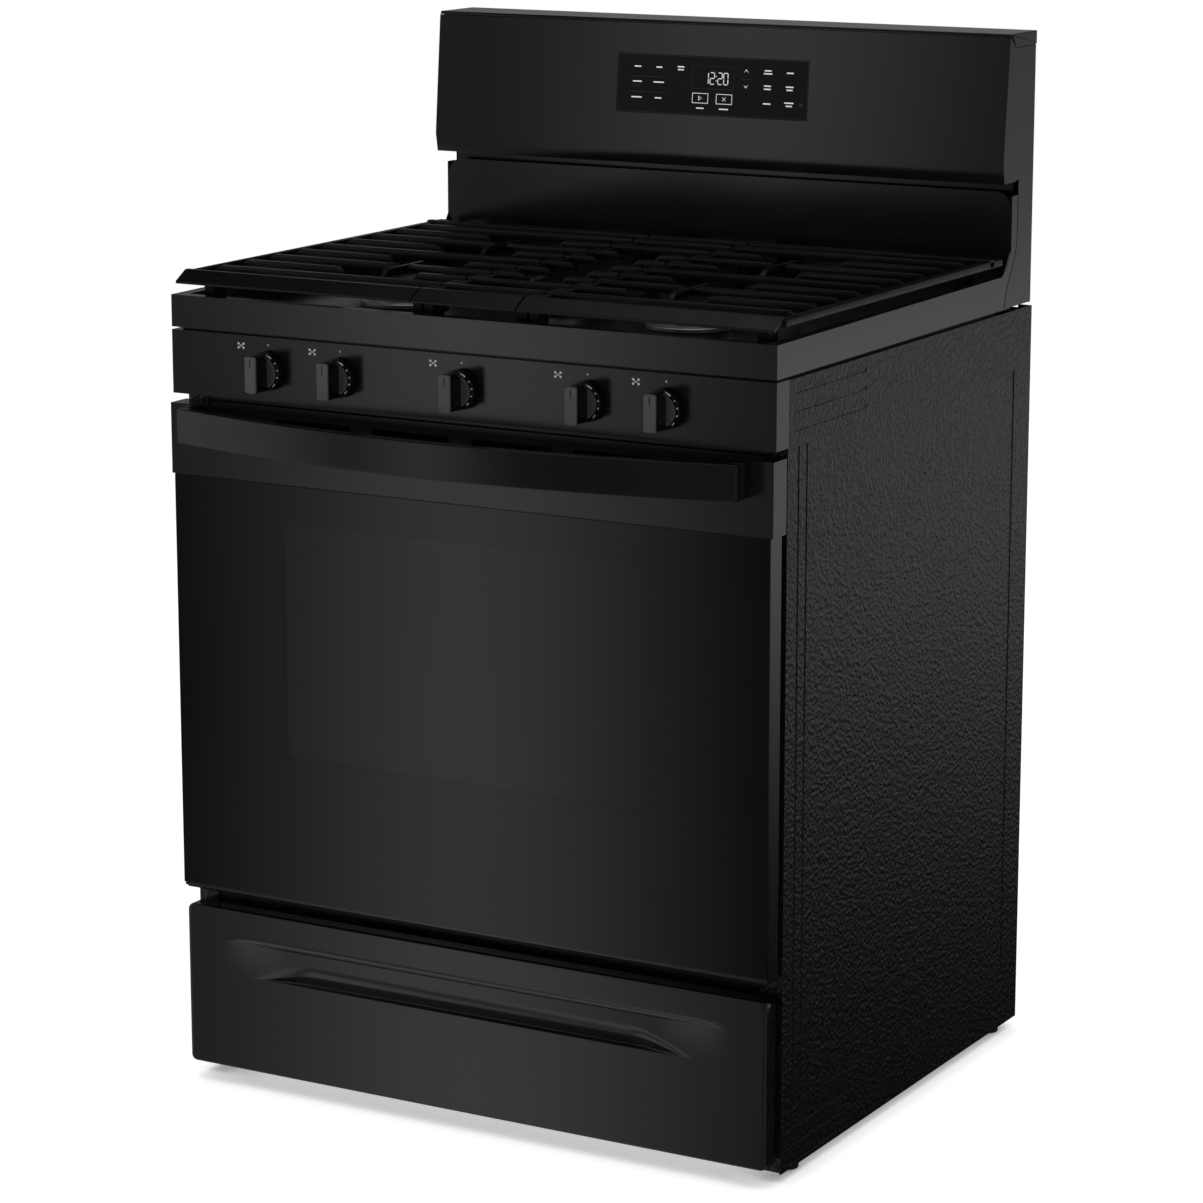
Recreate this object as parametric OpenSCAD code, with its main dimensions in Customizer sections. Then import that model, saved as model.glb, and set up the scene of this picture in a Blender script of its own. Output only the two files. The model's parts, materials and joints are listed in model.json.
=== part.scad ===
// Freestanding gas range, 30 inch class: slide-in-width body, five sealed burners under three
// continuous grates, a rear control console, a drop-down oven door and a storage drawer.
// Millimetres, +Z up, front faces -Y. The origin is on the floor under the middle of the
// overall box. Inside the modules Y counts back from the face of the knob panel.

/* [Overall] */
// Width across the cooktop and the door
range_w = 756; // [752:1:760]
// Depth from the face of the knob panel to the back edge of the side panels
body_depth = 650; // [646:1:654]
// Height of the cooktop's rim above the floor
cooktop_z = 914; // [912:1:916]
// Height of the top of the console
overall_z = 1191; // [1188:1:1194]
// Thickness of the folded sheet-steel panels
sheet_t = 1.6; // [1.2:0.1:1.8]

/* [Side panels] */
// Distance from the knob panel's face to the front edge of the side panels
side_front_y = 28; // [27:1:30]
// Height of the bottom edge of the side panels
side_bottom_z = 10; // [8:1:14]
// Depth of the embossed recess
emboss_d = 0.8; // [0.4:0.1:1]

/* [Cooktop] */
// Height of the band folded down at the cooktop's front and sides
band_h = 36; // [34:1:38]
// How far the deck lies below the rim
deck_drop = 21; // [18:1:24]
// Height of the top of the riser at the back of the deck
riser_top_z = 1011; // [1006:1:1012]
// Distance from the knob panel's face to the riser
riser_y = 585; // [584:1:588]

/* [Burners] */
// Distance of the outer burners from the middle
burner_x = 183; // [178:1:186]
// Distance of the front burners from the knob panel's face
burner_front_y = 177; // [174:1:180]
// Distance of the rear burners from the knob panel's face
burner_rear_y = 391; // [388:1:394]
// Radius of the ported ring of an outer burner
burner_ring_r = 40; // [36:1:42]
// Half the distance between the round ends of the oval middle burner
oval_half = 62; // [50:1:70]

/* [Grates] */
// Height of the top of the grates
grate_z = 940; // [938:1:944]
// Distance from the middle to the seams between the grates
seam_x = 66; // [60:1:70]
// Width of a grate bar
bar_w = 9; // [7:0.5:10]
// Height of a grate bar
bar_h = 9; // [8:0.5:12]
// Distance from one grate bar to the next
bar_pitch = 53.4; // [53:0.1:54]
// Distance from the knob panel's face to the first grate bar
first_bar_y = 70; // [68:1:72]

/* [Knobs] */
// Height of the knobs
knob_z = 838; // [836:1:840]
// Distance of the inner knobs from the middle one
knob_inner_x = 155; // [150:1:160]
// Distance of the outer knobs from the middle one
knob_outer_x = 249; // [244:1:254]
// Radius of a knob's skirt
knob_skirt_r = 22; // [20:0.5:24]
// Distance from the knob panel to the front of a knob
knob_reach = 36; // [32:1:38]
// Travel of a knob when it is pushed in to light its burner
push_travel = 4; // [3:0.5:5]
// Radius of a valve stem
stem_r = 4; // [3.5:0.5:4.5]

/* [Door] */
// Height of the door's bottom edge
door_bottom_z = 230; // [228:1:231]
// Height of the door's top edge
door_top_z = 793.3; // [790:0.1:795]
// Height of the joint between the door's glass and its top band
glass_top_z = 713.3; // [710:0.1:716]
// How far the door's face stands in front of the knob panel
door_out = 5.4; // [4:0.1:6]
// Distance from the knob panel's face to the back of the door
door_back_y = 24; // [23:0.5:25]
// Width of the window
window_w = 470; // [460:1:480]
// Height of the window's bottom edge
window_bottom_z = 400; // [395:1:405]
// Height of the window's top edge
window_top_z = 672; // [668:1:676]

/* [Handle] */
// Length of the door handle
handle_w = 700; // [690:1:710]
// Height of the handle's flat face
handle_h = 39; // [38:1:43]
// How far the middle of the handle stands in front of the knob panel
handle_out = 83; // [80:1:86]
// How much further forward the middle of the handle is than its ends
handle_bow = 48.5; // [45:0.5:52]
// Thickness of the handle
handle_t = 13; // [11:1:15]

/* [Drawer] */
// Width of the drawer front
drawer_w = 747; // [744:1:750]
// Height of the drawer front's bottom edge
drawer_bottom_z = 22; // [20:1:24]
// Height of the drawer front's top edge
drawer_top_z = 211; // [209:1:212]
// Height of the crease above the finger pull
pull_top_z = 175; // [172:1:178]
// Height of the lip below the finger pull
pull_lip_z = 135; // [132:1:138]

/* [Oven] */
// Width of the oven's cavity
cavity_w = 610; // [606:1:614]
// Height of the cavity's floor
cavity_bottom_z = 262; // [260:1:263]
// Height of the cavity's roof
cavity_top_z = 745; // [743:1:747]
// Distance from the knob panel's face to the cavity's back wall
cavity_back_y = 525; // [523:1:527]
// Height of the upper rack's wires
rack_upper_z = 547; // [545:1:549]
// Height of the lower rack's wires
rack_lower_z = 427; // [425:1:429]

/* [Hidden] */

$fn = 64;
front_y = (handle_out - body_depth) / 2;
half_w = range_w / 2;
skin_x = half_w - 1;
inner_x = skin_x - sheet_t;
gap = 0.2;
cavity_x = cavity_w / 2;
cavity_front_y = 32;
frame_y = 29.8;
liner_t = 1.2;
deck_z = cooktop_z - deck_drop;
band_bottom_z = cooktop_z - band_h;
rear_y = body_depth - 10;
knob_xs = [-knob_outer_x, -knob_inner_x, 0, knob_inner_x, knob_outer_x];
stem_bore_r = 6;

// Hinge line of the door and the arms beside it
pivot_y = 10;
pivot_z = 239;
hinge_x = 331;
arm_t = 8;
pin_r = 4;
running_gap = 0.05;

// Fan behind the oven's back wall
fan_z = 560;
fan_r = 85;
fan_shaft_r = 4;

// Console outline: front face leaning back above a lower band that turns under
console_front_y = 558;
console_top_y = 571;
console_fold_z = 1044;
console_bottom_z = 1022;
console_bottom_y = 562;
console_back_y = 645;
cap_z = overall_z - 16;
strip_w = 15;

// Screen and key panel let into the console
touch_w = 254;
touch_bottom_z = 1082;
touch_top_z = 1151;

burner_spots = [[-burner_x, burner_front_y], [burner_x, burner_front_y],
    [-burner_x, burner_rear_y], [burner_x, burner_rear_y]];
burner_mid_y = (burner_front_y + burner_rear_y) / 2;

module at_front() translate([0, front_y, 0]) children();

// Box between two opposite corners
module block(low, high) translate(low) cube(high - low);

// The same thing on the right and, mirrored, on the left
module both_sides() {
    children();
    mirror([1, 0, 0]) children();
}

// Outline in (y, z) drawn along X
module along_x(x0, x1) translate([x0, 0, 0]) rotate([90, 0, 90]) linear_extrude(x1 - x0) children();

// Outline in (x, z) drawn along Y
module along_y(y0, y1) translate([0, y1, 0]) rotate([90, 0, 0]) linear_extrude(y1 - y0) children();

// Round bar between two points
module rod(p, q, r) {
    d = q - p;
    translate(p) rotate([0, acos(d.z / norm(d)), atan2(d.y, d.x)]) cylinder(r = r, h = norm(d));
}

// Pipe along a list of points, with a square elbow fitting at each bend
module bent_pipe(points, r) {
    for (i = [0 : len(points) - 2]) rod(points[i], points[i + 1], r);
    for (i = [1 : 1 : len(points) - 2]) translate(points[i]) cube(2 * r + 3, center = true);
}

// Round bar along Y
module y_rod(x, z, y0, y1, r) translate([x, y0, z]) rotate([-90, 0, 0]) cylinder(r = r, h = y1 - y0);

// Round bar along X
module x_rod(y, z, x0, x1, r) translate([x0, y, z]) rotate([0, 90, 0]) cylinder(r = r, h = x1 - x0);

// Upright slot with round ends in the (y, z) plane
module slot_outline(y, z0, z1, w) {
    translate([y - w / 2, z0 + w / 2]) square([w, z1 - z0 - w]);
    for (z = [z0 + w / 2, z1 - w / 2]) translate([y, z]) circle(r = w / 2);
}

// Rectangle with round corners
module round_rect(low, high, r) {
    translate([low.x + r, low.y]) square([high.x - low.x - 2 * r, high.y - low.y]);
    translate([low.x, low.y + r]) square([high.x - low.x, high.y - low.y - 2 * r]);
    for (x = [low.x + r, high.x - r], y = [low.y + r, high.y - r]) translate([x, y]) circle(r = r);
}

// ---- body shell ----

recess_y = [74, 604];
recess_z = [81, 804];
groove_ys = [53, 72];
rib_ys = [42, 212];
rib_zs = [19, 39, 59, 822, 842, 862];

module emboss_outline() {
    translate([recess_y[0] + 8, recess_z[0]])
        square([recess_y[1] - recess_y[0] - 8, recess_z[1] - recess_z[0]]);
    slot_outline(groove_ys[0], recess_z[0] - 3, recess_z[1] - 2, 4);
    slot_outline(groove_ys[1], recess_z[0] - 3, recess_z[1] - 2, 4);
    for (z = rib_zs) translate([rib_ys[0], z - 4]) square([rib_ys[1] - rib_ys[0], 4]);
}

module side_panel() {
    difference() {
        along_x(inner_x, skin_x) difference() {
            translate([side_front_y, side_bottom_z])
                square([body_depth - side_front_y, band_bottom_z - 4 - side_bottom_z]);
            for (y = [150, 310]) translate([y, 15]) square([18, 2]);
        }
        along_x(skin_x - emboss_d, skin_x + 1) emboss_outline();
    }
    block([350, side_front_y, side_bottom_z + 2], [inner_x, side_front_y + sheet_t, 802]);
    block([360, body_depth - sheet_t, side_bottom_z + 2], [inner_x, body_depth, band_bottom_z - 4]);
    block([350, 34, band_bottom_z - 4 - sheet_t], [inner_x, 556, band_bottom_z - 4]);
}

module side_panel_right() color("#26272a") at_front() side_panel();

module side_panel_left() color("#26272a") at_front() mirror([1, 0, 0]) side_panel();

module rear_panel() color("#8f9294") at_front() difference() {
    block([-inner_x, rear_y - 1, 60], [inner_x, rear_y, band_bottom_z - 6]);
    block([235, rear_y - 2, 85], [325, rear_y + 1, 165]);
    y_rod(-250, 120, rear_y - 2, rear_y + 1, 11);
    for (x = [-300 : 60 : 300], z = [560, 585]) block([x - 20, rear_y - 2, z], [x + 20, rear_y + 1, z + 6]);
    for (x = [-120 : 40 : 120], z = [780, 800]) block([x - 14, rear_y - 2, z], [x + 14, rear_y + 1, z + 6]);
}

foot_x = 350;
foot_ys = [80, 610];
foot_stem_r = 4.9;

module base_frame() color("#5a5c5f") at_front() difference() {
    union() {
        both_sides() block([346.5, 32, 14], [inner_x - gap, rear_y - 2, 34]);
        block([-346.5, 40, 14], [346.5, 58, 20]);
        block([-346.5, 598, 14], [346.5, 620, 34]);
        both_sides() block([346.5, 598, 34], [inner_x - gap, rear_y - 2, 205]);
    }
    for (x = [-foot_x, foot_x], y = foot_ys)
        translate([x + sign(x) * 8, y, 8]) cylinder(r = foot_stem_r + 0.1, h = 30);
}

module leveling_feet() color("#3b3c3e") at_front()
    for (x = [-foot_x, foot_x], y = foot_ys) translate([x + sign(x) * 8, y, 0]) {
        cylinder(r = 13, h = 6);
        translate([0, 0, 6]) cylinder(r1 = 13, r2 = 8, h = 3);
        translate([0, 0, 9]) cylinder(r = foot_stem_r, h = 27);
    }

module front_frame() color("#1c1c1e") at_front() difference() {
    block([-374, frame_y, 36], [374, cavity_front_y, 802]);
    block([-cavity_x, 0, cavity_bottom_z], [cavity_x, 60, cavity_top_z]);
    block([-342, 0, 0], [342, 60, 206]);
    both_sides() block([hinge_x - 5, 0, 229], [hinge_x + 5, 60, 249]);
}

// ---- oven ----

module oven_liner() color("#2d2e30") at_front() {
    top = cavity_top_z;
    back = cavity_back_y;
    outer = cavity_x + liner_t;
    both_sides() block([cavity_x, cavity_front_y, 232.2], [outer, back - gap, top - gap]);
    block([-outer, cavity_front_y, top], [outer, back - gap, top + liner_t]);
    block([-outer, cavity_front_y, 230], [outer, back - gap, 232]);
    difference() {
        block([-outer, back, 230], [outer, back + liner_t, top + liner_t]);
        y_rod(0, fan_z, back - 1, back + liner_t + 1, 8);
        block([-flue_half, back - 1, flue_z[0]], [flue_half, back + liner_t + 1, flue_z[1]]);
    }
}

module oven_floor() color("#2d2e30") at_front() difference() {
    block([-cavity_x + gap, cavity_front_y + 2, cavity_bottom_z - 2],
        [cavity_x - gap, cavity_back_y - gap, cavity_bottom_z]);
    for (x = [-290, 270], y = [80 : 45 : 480]) block([x, y, 250], [x + 20, y + 8, 270]);
}

guide_levels = [rack_lower_z - 127, rack_lower_z - 67, rack_lower_z - 7,
    rack_upper_z - 67, rack_upper_z - 7, rack_upper_z + 53, rack_upper_z + 113];

module rack_guides() color("#8c8e90") at_front() both_sides() for (z = guide_levels) {
    y_rod(cavity_x - 9, z, 48, cavity_back_y - 30, 3);
    for (y = [60, 260, cavity_back_y - 50]) rod([cavity_x - 9, y, z], [cavity_x - gap, y, z], 2);
}

module insulation() color("#d8c27a") at_front() {
    both_sides() block([cavity_x + 4, 40, cavity_bottom_z], [352, cavity_back_y, cavity_top_z]);
    block([-340, 40, cavity_top_z + 3], [340, 480, cavity_top_z + 40]);
    block([-318, 40, 212], [318, cavity_back_y, 228]);
    difference() {
        block([-352, cavity_back_y + 3, 240], [352, cavity_back_y + 43, flue_z[0] - 4]);
        y_rod(0, fan_z, 0, 700, 62);
        y_rod(-210, 690, 0, 700, 26);
    }
}

module door_seal() color("#4a4b4d") at_front() along_y(door_back_y + 0.3, frame_y) difference() {
    round_rect([-320, 252], [320, 757], 22);
    round_rect([-311, 261], [311, 748], 14);
}

module bake_burner() color("#9b9d9f") at_front() difference() {
    union() {
        y_rod(0, 245, 60, 470, 10);
        block([-12, 36, 234], [12, 60, 256]);
        translate([18, 90, 240]) cube([8, 40, 10]);
    }
    for (y = [80 : 12 : 460]) both_sides() rod([4, y, 245], [16, y, 245], 1.6);
}

module broil_burner() color("#9b9d9f") at_front() difference() {
    block([-95, 90, 722], [95, 420, 738]);
    for (x = [-80 : 20 : 80], y = [105 : 30 : 405]) block([x - 3, y - 10, 720], [x + 3, y + 10, 725]);
}

lamp_x = -210;
lamp_z = 690;

module oven_lamp() color("#f2efe4") at_front() {
    y_rod(lamp_x, lamp_z, cavity_back_y - 6, cavity_back_y - gap, 26);
    y_rod(lamp_x, lamp_z, cavity_back_y - 22, cavity_back_y - 6, 20);
}

module fan_cover() color("#37383b") at_front() difference() {
    y_rod(0, fan_z, cavity_back_y - 28, cavity_back_y - gap, 112);
    y_rod(0, fan_z, cavity_back_y - 26, cavity_back_y, 110);
    for (ring = [1 : 5], i = [0 : 6 * ring - 1])
        y_rod(14 * ring * cos(60 * i / ring), fan_z + 14 * ring * sin(60 * i / ring),
            cavity_back_y - 30, cavity_back_y - 20, 4);
}

module fan_motor() color("#77797c") at_front() difference() {
    union() {
        y_rod(0, fan_z, cavity_back_y + liner_t + 2, cavity_back_y + 70, 45);
        y_rod(0, fan_z, cavity_back_y + 70, cavity_back_y + 78, 30);
    }
    y_rod(0, fan_z, cavity_back_y, cavity_back_y + 40, fan_shaft_r + running_gap);
}

module fan_blade() color("#b8babc") at_front() translate([0, cavity_back_y, fan_z]) {
    y_rod(0, 0, -20, 39, fan_shaft_r);
    y_rod(0, 0, -18, -4, 12);
    for (a = [0 : 60 : 359]) rotate([0, a, 0]) translate([0, -16, 0]) rotate([0, 0, 25])
        block([-8, -0.8, 8], [8, 0.8, fan_r]);
}

// ---- hinges and drawer slides that stay with the body ----

module hinge_arms() color("#a7a9ab") at_front() both_sides() {
    x_rod(pivot_y, pivot_z, hinge_x - arm_t / 2, hinge_x + arm_t / 2, 8);
    x_rod(pivot_y, pivot_z, hinge_x - 9, hinge_x + 9, pin_r);
    block([hinge_x - arm_t / 2, pivot_y, pivot_z - 8], [hinge_x + arm_t / 2, 40, pivot_z + 8]);
    difference() {
        block([hinge_x - 9, cavity_front_y, pivot_z - 13], [hinge_x + 9, 110, pivot_z + 13]);
        block([hinge_x - 6, 50, pivot_z - 10], [hinge_x + 6, 111, pivot_z + 10]);
    }
}

rail_z = 105;

module drawer_rails() color("#a7a9ab") at_front() both_sides() {
    block([342, 34, rail_z - 12], [344, 590, rail_z + 12]);
    block([334, 34, rail_z + 6], [341.8, 590, rail_z + 8]);
    block([334, 34, rail_z - 8], [341.8, 590, rail_z - 6]);
}

// ---- cooktop ----

// Front edge of the console's side below the vent, swept from the deck's band up to the riser
sweep_top_z = 960;
sweep_low_y = 570;
sweep_high_y = 602;
sweep_steps = 10;
function sweep_edge(offset) = [for (i = [sweep_steps : -1 : 0]) [
    offset + sweep_low_y + (sweep_high_y - sweep_low_y) * (1 - cos(180 * i / sweep_steps)) / 2,
    band_bottom_z + 1 + i * (sweep_top_z - band_bottom_z - 1) / sweep_steps]];

// Outline of the middle burner, stretched front to back
module oval(r) {
    translate([-r, -oval_half]) square([2 * r, 2 * oval_half]);
    for (y = [-oval_half, oval_half]) translate([0, y]) circle(r = r);
}

rim_outline = [[0, band_bottom_z], [0, cooktop_z], [14, cooktop_z], [24, deck_z],
    [24, deck_z - 2], [22.8, deck_z - 2], [12.8, cooktop_z - 2], [2, cooktop_z - 2], [2, band_bottom_z]];

module cooktop_side() along_x(half_w - 2, half_w) polygon(concat(
    [[2, band_bottom_z], [2, cooktop_z], [560, cooktop_z + 3], [574, 926], [riser_y, 944],
        [riser_y, riser_top_z - 4],
        [sweep_high_y - 2, riser_top_z - 4]],
    sweep_edge(-2)));

module cooktop() color("#1d1e21") at_front() difference() {
    union() {
        along_x(-half_w, half_w) polygon(rim_outline);
        both_sides() cooktop_side();
        both_sides() along_y(2, riser_y) polygon([[half_w - 2, cooktop_z], [half_w - 14, cooktop_z],
            [half_w - 24, deck_z], [half_w - 24, deck_z - 2], [half_w - 2, cooktop_z - 3]]);
        block([-half_w + 24, 24, deck_z - 2], [half_w - 24, riser_y + 2, deck_z]);
        along_y(riser_y, riser_y + 2) {
            round_rect([-half_w + 2, deck_z - 2], [half_w - 2, riser_top_z], 18);
            translate([-half_w + 2, deck_z - 2]) square([range_w - 4, 60]);
        }
        for (p = burner_spots) translate([p.x, p.y, deck_z]) cylinder(r1 = 58, r2 = 50, h = 3);
        translate([0, burner_mid_y, deck_z]) linear_extrude(3) oval(34);
    }
    for (p = burner_spots) translate([p.x, p.y, deck_z - 5]) cylinder(r = 18, h = 12);
    translate([0, burner_mid_y, deck_z - 5]) cylinder(r = 14, h = 12);
}

head_z = deck_z + 3;

// Ported ring: a round casting with slots cut through its edge
module ported_ring(r, count) difference() {
    translate([0, 0, head_z]) {
        cylinder(r = r + 10, h = 5);
        translate([0, 0, 5]) cylinder(r = r, h = 10);
    }
    for (i = [0 : count - 1]) rotate([0, 0, i * 360 / count])
        block([r - 5, -1, head_z + 8], [r + 1, 1, head_z + 16]);
}

module igniter(x, y) {
    translate([x, y, head_z]) cylinder(r = 4, h = 8);
    translate([x, y, head_z + 8]) cylinder(r = 1.2, h = 5);
}

module burner_heads() color("#c9cacb") at_front() {
    for (p = burner_spots) translate([p.x, p.y, 0]) {
        ported_ring(burner_ring_r, 30);
        translate([0, 0, head_z - 26]) cylinder(r = 17.8, h = 26);
        igniter(0, burner_ring_r + 9);
    }
    translate([0, burner_mid_y, 0]) {
        translate([0, 0, head_z]) linear_extrude(13) oval(27);
        translate([0, 0, head_z - 26]) cylinder(r = 13.8, h = 26);
        igniter(31.5, 0);
    }
}

module burner_caps() color("#18181a") at_front() {
    for (p = burner_spots) translate([p.x, p.y, head_z + 15]) {
        cylinder(r = burner_ring_r - 1, h = 2.8);
        translate([0, 0, 2.8]) cylinder(r1 = burner_ring_r - 1, r2 = burner_ring_r - 5, h = 1.4);
    }
    translate([0, burner_mid_y, head_z + 13]) linear_extrude(5) oval(25);
}

// ---- grates ----

rail_out_x = 376;
rail_front_y = 2;
rail_rear_y = 566;
rear_bar_y = 537;
rows = [for (k = [0 : 8]) first_bar_y + k * bar_pitch];
burner_gap = 46.5;
foot_top_z = deck_z + gap;

module row_bar(x0, x1, y) block([x0, y - bar_w / 2, grate_z - bar_h], [x1, y + bar_w / 2, grate_z]);

// Sloping front skirt that joins the bars at the front
module grate_skirt(x0, x1) along_x(x0, x1) translate([rail_front_y, grate_z])
    polygon([[0, -14], [0, -11], [19, 0], [25, 0], [25, -4], [20, -4], [3, -14]]);

module grate_feet(x0, x1) for (y = [rail_front_y + 38, rear_bar_y - 12])
    block([x0, y - 12, foot_top_z], [x1, y + 12, grate_z - bar_h]);

module grate_right_shape() {
    grate_skirt(seam_x + 1, rail_out_x - 3);
    row_bar(seam_x + 1, rail_out_x, rear_bar_y);
    block([rail_out_x - 9, rail_front_y + 22, grate_z - 14], [rail_out_x, rail_rear_y, grate_z - 2]);
    block([seam_x + 1, rail_front_y + 22, grate_z - bar_h], [seam_x + 8, rail_rear_y - 20, grate_z - 3]);
    for (k = [0 : 8]) {
        y = rows[k];
        full = k % 4 == 0;
        finger = k == 2 || k == 6;
        reach = finger ? 3 : burner_gap;
        if (full) row_bar(seam_x + 1, rail_out_x, y);
        else {
            row_bar(seam_x + 1, burner_x - reach, y);
            row_bar(burner_x + reach, rail_out_x, y);
        }
        if (finger) block([burner_x - 3.5, y - 47, grate_z - bar_h], [burner_x + 3.5, y + 47, grate_z - 1]);
    }
    grate_feet(rail_out_x - 37, rail_out_x - 23);
    block([rail_out_x - 37, rail_front_y + 34, grate_z - bar_h], [rail_out_x - 8, rail_front_y + 42, grate_z - 4]);
    grate_feet(seam_x + 1, seam_x + 13);
}

module grate_right() color("#2b2b2c") at_front() grate_right_shape();

module grate_left() color("#2b2b2c") at_front() mirror([1, 0, 0]) grate_right_shape();

module grate_center() color("#2b2b2c") at_front() {
    side = seam_x - 1;
    grate_skirt(-side, side);
    row_bar(-side, side, rear_bar_y);
    both_sides() block([side - 8, rail_front_y + 22, grate_z - bar_h], [side, rail_rear_y - 20, grate_z - 3]);
    for (k = [0 : 8])
        if (k >= 2 && k <= 6) both_sides() row_bar(22, side, rows[k]);
        else row_bar(-side, side, rows[k]);
    both_sides() grate_feet(side - 13, side);
}

// ---- gas train ----

manifold_y = 70;

module gas_manifold() color("#8f9294") at_front() difference() {
    union() {
        x_rod(manifold_y, knob_z, -310, 340, 9);
        for (x = knob_xs) block([x - 12, 32, knob_z - 13], [x + 12, manifold_y, knob_z + 13]);
        bent_pipe([[340, manifold_y, knob_z], [360, manifold_y, knob_z], [360, 600, knob_z],
            [360, 600, 220], [300, 600, 220], [300, 600, 160]], 7);
    }
    for (x = knob_xs) y_rod(x, knob_z, 20, 52, stem_r + running_gap);
}

tube_z = 864;

module burner_tubes() color("#b9bbbd") at_front() {
    targets = [burner_spots[0], burner_spots[2], [0, burner_mid_y], burner_spots[3], burner_spots[1]];
    for (i = [0 : 4]) {
        x = knob_xs[i];
        goal = targets[i];
        bent_pipe([[x, 62, knob_z + 13.2], [x, 62, tube_z], [x, goal.y - 40, tube_z],
            [goal.x, goal.y - 20, tube_z], [goal.x, goal.y, tube_z]], 4);
        translate([goal.x, goal.y, tube_z - 4]) cylinder(r = 10, h = head_z - 26 - gap - tube_z + 4);
    }
}

module gas_regulator() color("#9b9d9f") at_front() difference() {
    union() {
        block([270, 585, 100], [320, 628, 150]);
        y_rod(295, 125, 628, body_depth - 2, 14);
        translate([300, 600, 150]) cylinder(r = 10, h = 9.8);
    }
    y_rod(295, 125, 596, body_depth, 10.5);
}

module knob_panel() color("#232428") at_front() difference() {
    union() {
        block([-half_w, 0, 803.4], [half_w, sheet_t, 875]);
        both_sides() block([half_w - sheet_t, sheet_t, 803.4], [half_w, side_front_y - gap, 875]);
        block([-half_w + sheet_t, sheet_t, 803.4], [half_w - sheet_t, side_front_y - gap, 805]);
        block([-half_w + sheet_t, sheet_t, 873.4], [half_w - sheet_t, side_front_y - gap, 875]);
    }
    for (x = knob_xs) y_rod(x, knob_z, -5, 20, stem_bore_r);
}

// ---- console ----

// Front face of the console at a height
function fascia_y(z) = z < console_fold_z
    ? console_front_y + (console_bottom_y - console_front_y) * (console_fold_z - z) / (console_fold_z - console_bottom_z)
    : console_front_y + (console_top_y - console_front_y) * (z - console_fold_z) / (overall_z - console_fold_z);

module console_fascia() color("#232428") at_front() difference() {
    union() {
        along_x(-half_w, half_w) polygon([
            [fascia_y(console_bottom_z), console_bottom_z], [console_front_y, console_fold_z],
            [fascia_y(cap_z + 12), cap_z + 12], [fascia_y(cap_z + 12) + 2, cap_z + 12],
            [console_front_y + 2, console_fold_z], [console_bottom_y + 2, console_bottom_z]]);
        along_x(-inner_x + gap, inner_x - gap) polygon([[console_bottom_y, console_bottom_z],
            [console_bottom_y + 2, console_bottom_z + 2], [640, console_bottom_z + 2], [640, console_bottom_z]]);
        both_sides() along_x(half_w - 2, half_w) polygon([
            [console_bottom_y + 2, console_bottom_z + 2], [console_front_y + 2, console_fold_z],
            [fascia_y(cap_z + 12) + 2, cap_z + 12], [console_top_y + strip_w - 1, cap_z],
            [console_front_y + strip_w, console_fold_z], [console_bottom_y + 8, console_bottom_z + 2]]);
    }
    along_x(-touch_w / 2, touch_w / 2) polygon([
        [fascia_y(touch_bottom_z) - 5, touch_bottom_z], [fascia_y(touch_top_z) - 5, touch_top_z],
        [fascia_y(touch_top_z) + 5, touch_top_z], [fascia_y(touch_bottom_z) + 5, touch_bottom_z]]);
}

module console_cap() color("#232428") at_front() {
    along_x(-half_w, half_w) polygon([[fascia_y(cap_z + 12), cap_z + 12.2], [fascia_y(overall_z) + 1, overall_z],
        [console_back_y, overall_z], [console_back_y, cap_z + 14], [fascia_y(cap_z + 12) + 6, cap_z + 14]]);
    both_sides() along_x(half_w - 2, half_w) polygon([[fascia_y(cap_z + 12) + 6, cap_z + 14],
        [console_back_y, cap_z + 14], [console_back_y, cap_z + 0.5], [console_top_y + strip_w, cap_z + 0.5]]);
}

module console_sides() color("#232428") at_front() both_sides() along_x(half_w - 1.95, skin_x) polygon(concat(
    [[console_back_y, band_bottom_z + 1], [console_back_y, cap_z], [console_top_y + strip_w, cap_z],
        [console_front_y + strip_w + 0.6, console_fold_z], [console_bottom_y + 8.6, console_bottom_z + 2],
        [sweep_high_y + 2, console_bottom_z + 2]],
    sweep_edge(2)));

module console_rear_cover() color("#8f9294") at_front() difference() {
    block([-half_w + 2, console_back_y - 1, band_bottom_z], [half_w - 2, console_back_y, cap_z + 13]);
    for (x = [-120 : 30 : 120]) block([x - 10, 600, 1130], [x + 10, 700, 1136]);
}

module touch_panel() color("#0b0b0d") at_front() {
    along_x(-touch_w / 2 + gap, touch_w / 2 - gap) polygon([
        [fascia_y(touch_bottom_z) + 0.4, touch_bottom_z + gap], [fascia_y(touch_top_z) + 0.4, touch_top_z - gap],
        [fascia_y(touch_top_z) + 3.4, touch_top_z - gap], [fascia_y(touch_bottom_z) + 3.4, touch_bottom_z + gap]]);
    block([-115, 578, touch_bottom_z + 4], [115, 580, touch_top_z - 4]);
    for (x = [-60, 10]) block([x, 580, touch_bottom_z + 12], [x + 40, 600, touch_bottom_z + 40]);
}

flue_z = [702, 738];
flue_half = 58;

module flue_duct() color("#77797c") at_front() {
    top = riser_top_z - 1;
    both_sides() block([flue_half, cavity_back_y + liner_t, flue_z[0] - 2], [flue_half + 2, 592, flue_z[1] + 2]);
    for (z = [flue_z[0] - 2, flue_z[1]])
        block([-flue_half + gap, cavity_back_y + liner_t, z], [flue_half - gap, 592, z + 2]);
    both_sides() block([120, 592 + gap, flue_z[0] - 2], [122, 634, top]);
    block([-120 + gap, 632, flue_z[0] - 2], [120 - gap, 634, top]);
    block([-120 + gap, 592 + gap, flue_z[1] + 2 + gap], [120 - gap, 594, top]);
    block([-120 + gap, 594 + gap, flue_z[0] - 2], [120 - gap, 632 - gap, flue_z[0]]);
}

// ---- rear fittings ----

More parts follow.
